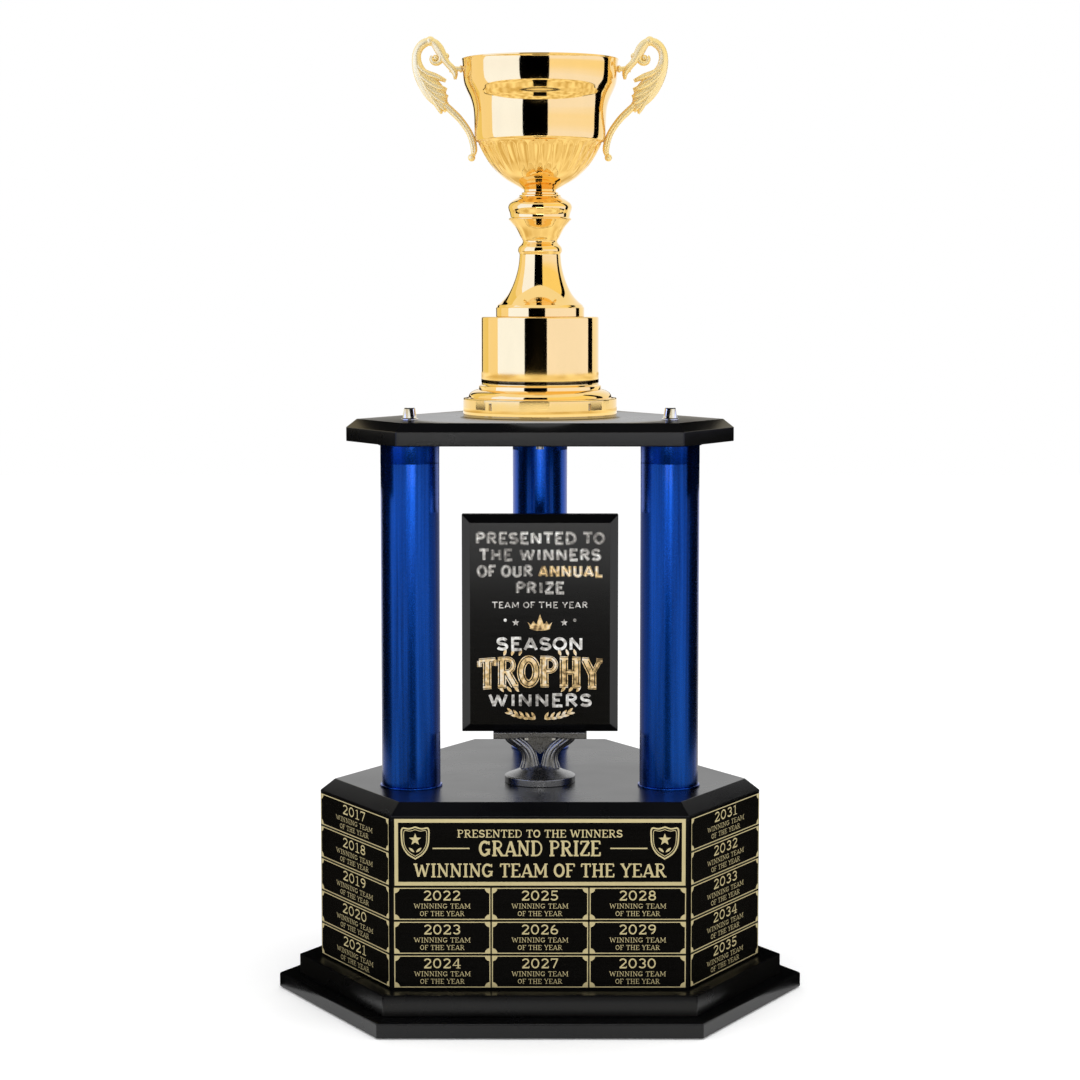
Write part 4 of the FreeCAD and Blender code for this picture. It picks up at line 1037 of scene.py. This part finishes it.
inside = flow([(62.0, 100), (61.6, 92.0), (60.5, 85.2), (58.2, 79.4), (55.3, 73.2), (53.4, 66.5),
               (52.8, 60.0), (52.5, 54.0), (51.6, 44.0), (48.4, 36.0), (43.2, 27.0), (36.0, 18.0),
               (26.8, 10.0), (16.0, 3.2), (8.0, 1.4), (0, 1.2)], 4)
bowl_profile = np.vstack([outside, inside])
is_outside = (np.arange(len(bowl_profile)) < len(outside))[:, None]


def fluted(radius, height, angle):
    """Pressed flutes: a dish across each flute, inside an outline that is a point below and a
    round arch above. At s of the way to the outline's edge the wall sinks by 1 - s squared."""
    across = np.abs((angle * FLUTES / TAU) % 1 - 0.5) * 2
    up = np.clip((height - FLUTE_LOW) / (FLUTE_HIGH - FLUTE_LOW), 0, 1)
    arch = np.sqrt(np.clip(1 - ((up - 0.8) / 0.2) ** 2, 0, 1))
    outline = 0.9 * np.where(up < 0.8, np.sin(up / 0.8 * math.pi / 2) ** 0.7, arch)
    depth = np.clip(1 - (across / np.maximum(outline, 1e-3)) ** 2, 0, 1)
    return radius - is_outside * depth * 1.25 * outline


make_shell("spun_bowl", bowl_profile, "cup_bowl", 512, fluted)

# %% [markdown]
# ## Handles
# Each handle is one casting in the shape of a curled leaf: a crest with a curl under it, a
# blade of overlapping fronds, and a grooved stem that ends in a ball by the bowl. It is built
# from swept bars in the plane of the handle, and the other one is its mirror image.

# %% Handles
def cast_bar(rows, thick, steps=8, columns=24, groove=None):
    """A swept bar from rows of (x, z, half width)."""
    table = flow(rows, steps)
    ends = np.clip(np.minimum(np.arange(len(table)), np.arange(len(table))[::-1]) / 3, 0.25, 1)
    return swept(table[:, :2], table[:, 2], thick * ends ** 0.5, columns, groove)


def curl(cx, cz, turn_from, turn_to, radius_from, radius_to, half_width, thick):
    """A spiral bar: its distance from the centre falls evenly with its angle."""
    t = np.linspace(0, 1, 40)
    angle = np.radians(turn_from + (turn_to - turn_from) * t)
    radius = radius_from + (radius_to - radius_from) * t
    path = np.stack([cx + radius * np.cos(angle), cz + radius * np.sin(angle)], 1)
    return swept(path, half_width * (1.1 - 0.35 * t), np.full(len(t), thick), 20)


def handle_parts():
    """The left handle's bars."""
    vein = ribbed(6, 0.07)
    parts = [
        cast_bar([(-89.0, 779.4, 3.0), (-93.4, 778.0, 3.6), (-97.4, 774.8, 3.6), (-99.9, 770.0, 3.6),
                  (-100.4, 764.0, 4.0), (-99.0, 757.4, 5.0), (-95.6, 750.6, 6.6), (-90.0, 743.4, 8.6),
                  (-84.2, 736.0, 8.4), (-80.2, 729.0, 5.6), (-78.2, 723.2, 2.2)], 3.2, groove=vein),
        cast_bar([(-88.6, 779.6, 2.8), (-85.2, 777.2, 3.7), (-82.0, 772.8, 4.2), (-78.9, 767.0, 3.7),
                  (-75.6, 761.8, 2.8), (-72.0, 758.0, 2.9), (-69.3, 753.8, 2.5), (-69.0, 748.6, 1.1)],
                 3.4, groove=vein),
        curl(-85.0, 765.4, 50, -215, 4.9, 2.8, 2.3, 2.8),
        sphere((-85.0, 0, 766.0), 2.5), sphere((-89.2, 0, 779.4), 3.9), sphere((-76.4, 0, 767.4), 2.6),
        cast_bar([(-73.8, 757.0, 2.8), (-71.0, 757.0, 2.4), (-66.4, 757.0, 2.0), (-62.0, 757.0, 2.0)],
                 2.0),
        cast_bar([(-65.4, 757.0, 2.6), (-64.4, 757.0, 3.0), (-63.4, 757.0, 2.6)], 2.8, 6),
        cast_bar([(-80.0, 731.4, 1.8), (-76.2, 727.2, 2.8), (-71.4, 722.6, 3.0), (-66.2, 717.6, 2.9),
                  (-61.4, 711.6, 2.8), (-57.4, 705.2, 2.8), (-54.8, 698.0, 2.9), (-53.8, 691.6, 2.8),
                  (-54.6, 687.4, 2.0)], 3.0, groove=ribbed(4, 0.2)),
        sphere((-55.8, 0, 685.4), 3.0)]
    fronds = (
        ((-100.0, 762.0), (-97.0, 757.0), (-91.6, 753.4), (-85.0, 751.0), (-76.6, 747.4), 2.6, 3.7),
        ((-100.4, 759.0), (-96.6, 751.4), (-90.2, 746.2), (-83.4, 742.6), (-76.0, 740.0), 3.0, 4.1),
        ((-99.0, 753.0), (-94.4, 745.6), (-88.0, 740.0), (-81.0, 736.6), (-75.0, 734.4), 2.8, 3.6),
        ((-96.4, 747.4), (-91.6, 740.4), (-85.6, 734.8), (-79.8, 731.0), (-75.0, 728.4), 2.8, 4.0),
        ((-93.4, 741.8), (-89.0, 735.4), (-84.2, 730.0), (-80.0, 726.0), (-76.4, 722.8), 2.4, 3.6),
        ((-90.0, 736.4), (-87.0, 732.0), (-84.0, 727.6), (-81.8, 724.4), (-80.2, 721.0), 1.9, 3.8))
    shares = (0.35, 0.8, 1.0, 1.0, 0.55)
    for *line, wide, thick in fronds:
        rows = [(x, z, wide * share) for (x, z), share in zip(line, shares)]
        parts.append(cast_bar(rows, thick, 7, 16))
    return parts


for side, mirror in (("left", 1), ("right", -1)):
    parts = [(np.asarray(points).reshape(-1, 3) * (mirror, 1, 1), faces)
             for points, faces in handle_parts()]
    make_piece(f"{side}_leaf_handle", parts, CAST_GILT, "cup", [f"{side}_handle"], 60)

# %% [markdown]
# ## Parts kept from the frame
# Felt, glue blocks, screws, rods and nuts keep the frame's own shape, which is already that of
# the real part, and get a finish.

# %% Kept parts
def dress(finish, *names):
    for name in names:
        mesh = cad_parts[name].data
        mesh.materials.clear()
        mesh.materials.append(finish)
    print(finish.name, "on", names)


dress(FELT, "felt_pad")
dress(PINE, "corner_blocks")
dress(FOIL, "upper_caps")
dress(ZINC, "cradle_screws", "handle_screws", "plinth_screws", "stand_screw", "rod_nuts", "tie_rods",
      "cup_rod", "cup_upper_nut", "cup_lower_nut")

# %% [markdown]
# ## Studio
# The object stands on a pale floor in a bright, even room. Cards round it are seen only in
# its polished surfaces: a cool soft box to the left, a black flag near the camera, a warmer
# panel to the right and narrow flags, which draw the streaks on the gilt and on the foil.

# %% Floor and room
def make_stage(name, points, faces, finish):
    """A floor or a card, which belongs to the studio and not to the object. Points in metres."""
    mesh = bpy.data.meshes.new(name)
    mesh.from_pydata(np.asarray(points, float).reshape(-1, 3).tolist(), [], faces)
    mesh.materials.append(finish)
    card = bpy.data.objects.new(name, mesh)
    bpy.context.scene.collection.objects.link(card)
    return card


FLOOR_REACH = 6.0
make_stage("floor", [(x * FLOOR_REACH, y * FLOOR_REACH, 0) for x, y in ((-1, -1), (1, -1), (1, 1), (-1, 1))],
           [[0, 1, 2, 3]], Finish("pale_floor", Base_Color=(0.93, 0.93, 0.93, 1), Roughness=0.9,
                                  Specular_IOR_Level=0.0, Emission_Color=(1, 1, 1, 1),
                                  Emission_Strength=0.12).material)

world = bpy.data.worlds.new("bright_room")
bpy.context.scene.world = world
world.use_nodes = True
world.node_tree.nodes["Background"].inputs["Color"].default_value = (1, 1, 1, 1)
world.node_tree.nodes["Background"].inputs["Strength"].default_value = 1.0


# %% Cards
def shade_card(card):
    """Let only polished surfaces see a card."""
    card.visible_camera = False
    card.visible_diffuse = False
    card.visible_shadow = False
    card.visible_transmission = False


def glow_finish(name, glow, glow_far=None, change=None, patches=0):
    """An even glow, or one that changes to glow_far between two heights, or in patches."""
    lamp = Finish(name, Base_Color=(0, 0, 0, 1), Specular_IOR_Level=0.0, Emission_Strength=1.0,
                  Emission_Color=(*glow, 1))
    if glow_far:
        if patches:
            value, change = lamp.grain(patches, 1, 0.4), (0.34, 0.66)
        else:
            value = lamp.node("ShaderNodeSeparateXYZ", None, {0: lamp.object_place()}, output=2)
        share = lamp.node("ShaderNodeMapRange", None,
                          {"Value": value, "From Min": change[0], "From Max": change[1]})
        lamp.feed("Emission Color", lamp.mix_colours(share, glow, glow_far))
    return lamp.material


def make_card(name, turn_from, turn_to, low, high, radius, glow, glow_above=None):
    """A curved card: (r sin a, -r cos a, z), with a measured from the camera towards +X. Its
    glow may change to glow_above in the second quarter of its height."""
    angle = np.radians(np.linspace(turn_from, turn_to, 33))
    rows = [np.stack([radius * np.sin(angle), -radius * np.cos(angle), np.full(33, height)], 1)
            for height in (low, high)]
    quarter = (high - low) / 4
    finish = glow_finish(name, glow, glow_above, (low + quarter, low + 2 * quarter))
    shade_card(make_stage(name, np.stack(rows), grid_faces(2, 33, wrap_columns=False).tolist(), finish))


def grey(level):
    return (level, level, level)


CUP_CARDS = (0.465, 1.2, 0.6)
LOW_FLAGS = (-0.2, 0.42, 1.5)
BLACK = grey(0)
for card in (
        ("cool_soft_box", -88, -29, *CUP_CARDS, (1.04, 1.36, 2.9), (1.02, 1.3, 2.75)),
        ("camera_flag", -29, 13, *CUP_CARDS, BLACK),
        ("warm_panel", 13, 105, *CUP_CARDS, (1.02, 1.1, 1.7), (1.04, 0.92, 0.52)),
        ("right_flag", 105, 121, *CUP_CARDS, BLACK),
        ("left_thin_flag", -158, -148, *CUP_CARDS, BLACK),
        ("left_gold_card", -148, -118, *CUP_CARDS, (0.9, 0.8, 0.4)),
        ("left_panel", -118, -88, *CUP_CARDS, (1.0, 0.95, 0.85)),
        ("low_left_flag", -110, -88, *LOW_FLAGS, BLACK),
        ("low_right_flag", 78, 104, *LOW_FLAGS, BLACK),
        ("low_front_flag", -12, 12, 0.0, 0.26, 0.8, BLACK),
        ("low_front_strip", -14, 14, 0.37, 0.43, 0.8, grey(7))):
    make_card(*card)
for side, name in ((1, "right"), (-1, "left")):
    make_card(f"{name}_side_flag", side * 71, side * 118, 0.165, 0.43, 0.35, BLACK)
    make_card(f"{name}_platform_flag", side * 58, side * 112, 0.41, 0.4675, 0.19, BLACK)


# %% [markdown]
# ## Flags and covers
# Black rings and panels close to the boards keep their bevels dark. A flag that the cup or the tubes
# would show has a glowing cover on its far side.

# %% Flags close to the boards
def make_ring(name, inner, outer, height, glow, glow_far=None, patches=0):
    """A flat ring card: points at two radii. Its glow may change in patches."""
    angle = np.arange(64) * TAU / 64
    rows = [np.stack([radius * np.cos(angle), radius * np.sin(angle), np.full(64, height)], 1)
            for radius in (inner, outer)]
    finish = glow_finish(name, glow, glow_far, patches=patches)
    shade_card(make_stage(name, np.stack(rows), grid_faces(2, 64).tolist(), finish))


def make_panel(name, corners, glow):
    shade_card(make_stage(name, corners, [[0, 1, 2, 3]], glow_finish(name, glow)))


WARM_GLOW = (1.14, 1.10, 0.95), (0.74, 0.60, 0.34)
make_ring("lid_flag", 0.10, 0.34, 0.440, BLACK)
make_ring("platform_flag", 0.088, 0.175, 0.500, BLACK)
make_ring("flag_cover", 0.088, 0.27, 0.503, *WARM_GLOW, 8)
make_ring("platform_glow", 0.066, 0.112, 0.4765, grey(1.1))
make_ring("platform_glow_cover", 0.066, 0.112, 0.4785, *WARM_GLOW, 16)
make_ring("floor_glow", 0.28, 2.4, 0.004, *WARM_GLOW, 5)
for side in (-1, 1):
    for name, x, glow in (("card", 0.0735, 1.5), ("cover", 0.0738, 0.4)):
        make_panel(f"plaque_side_{name}_{side + 1}", [(side * x, y, z) for y, z in (
            (-0.078, 0.22), (-0.03, 0.22), (-0.03, 0.40), (-0.078, 0.40))], grey(glow))
wall = around_sides(BOARD_NORMALS, [distance + 5 for distance in board_distances("bottom_plinth")],
                    [0, 0], 6)
height = np.array([[0.5], [165.0]]) + 0 * wall[..., 0]
height[0] = np.where(wall[0, :, 1] < wall[0, :, 1].min() + 12, 20.0, 0.5)
wall = np.concatenate([wall, height[..., None]], -1)
shade_card(make_stage("plinth_flag", wall * MM, grid_faces(*wall.shape[:2]).tolist(),
                      glow_finish("plinth_flag", BLACK)))

# %% [markdown]
# ## Light and camera
# One soft light hangs overhead, and the camera looks slightly down from the front.

# %% Light
lamp = bpy.data.lights.new("overhead_soft_light", "AREA")
lamp.size = 2.0
lamp.energy = 18
light = bpy.data.objects.new("overhead_soft_light", lamp)
light.location = (0.3, -0.4, 2.6)
aim = np.array([0, 0, 0.3]) - light.location
light.rotation_euler = (math.atan2(aim[2], math.hypot(aim[0], aim[1])) + math.pi / 2, 0,
                        math.atan2(aim[1], aim[0]) - math.pi / 2)
light.visible_glossy = False
bpy.context.scene.collection.objects.link(light)
print("light at", light.location[:])

# %% Camera
SENSOR_WIDTH, FOCAL_LENGTH = 36, 88.3333
CAMERA_BACK, CAMERA_UP, CAMERA_PITCH = 2.183, 0.580, 0.095
lens = bpy.data.cameras.new("camera")
lens.sensor_width = SENSOR_WIDTH
lens.lens = FOCAL_LENGTH
camera = bpy.data.objects.new("camera", lens)
camera.location = (0, -CAMERA_BACK, CAMERA_UP)
camera.rotation_euler = (math.pi / 2 - CAMERA_PITCH, 0, 0)
bpy.context.scene.collection.objects.link(camera)
bpy.context.scene.camera = camera
bpy.context.scene.view_settings.view_transform = "Standard"
print("camera at", camera.location[:])
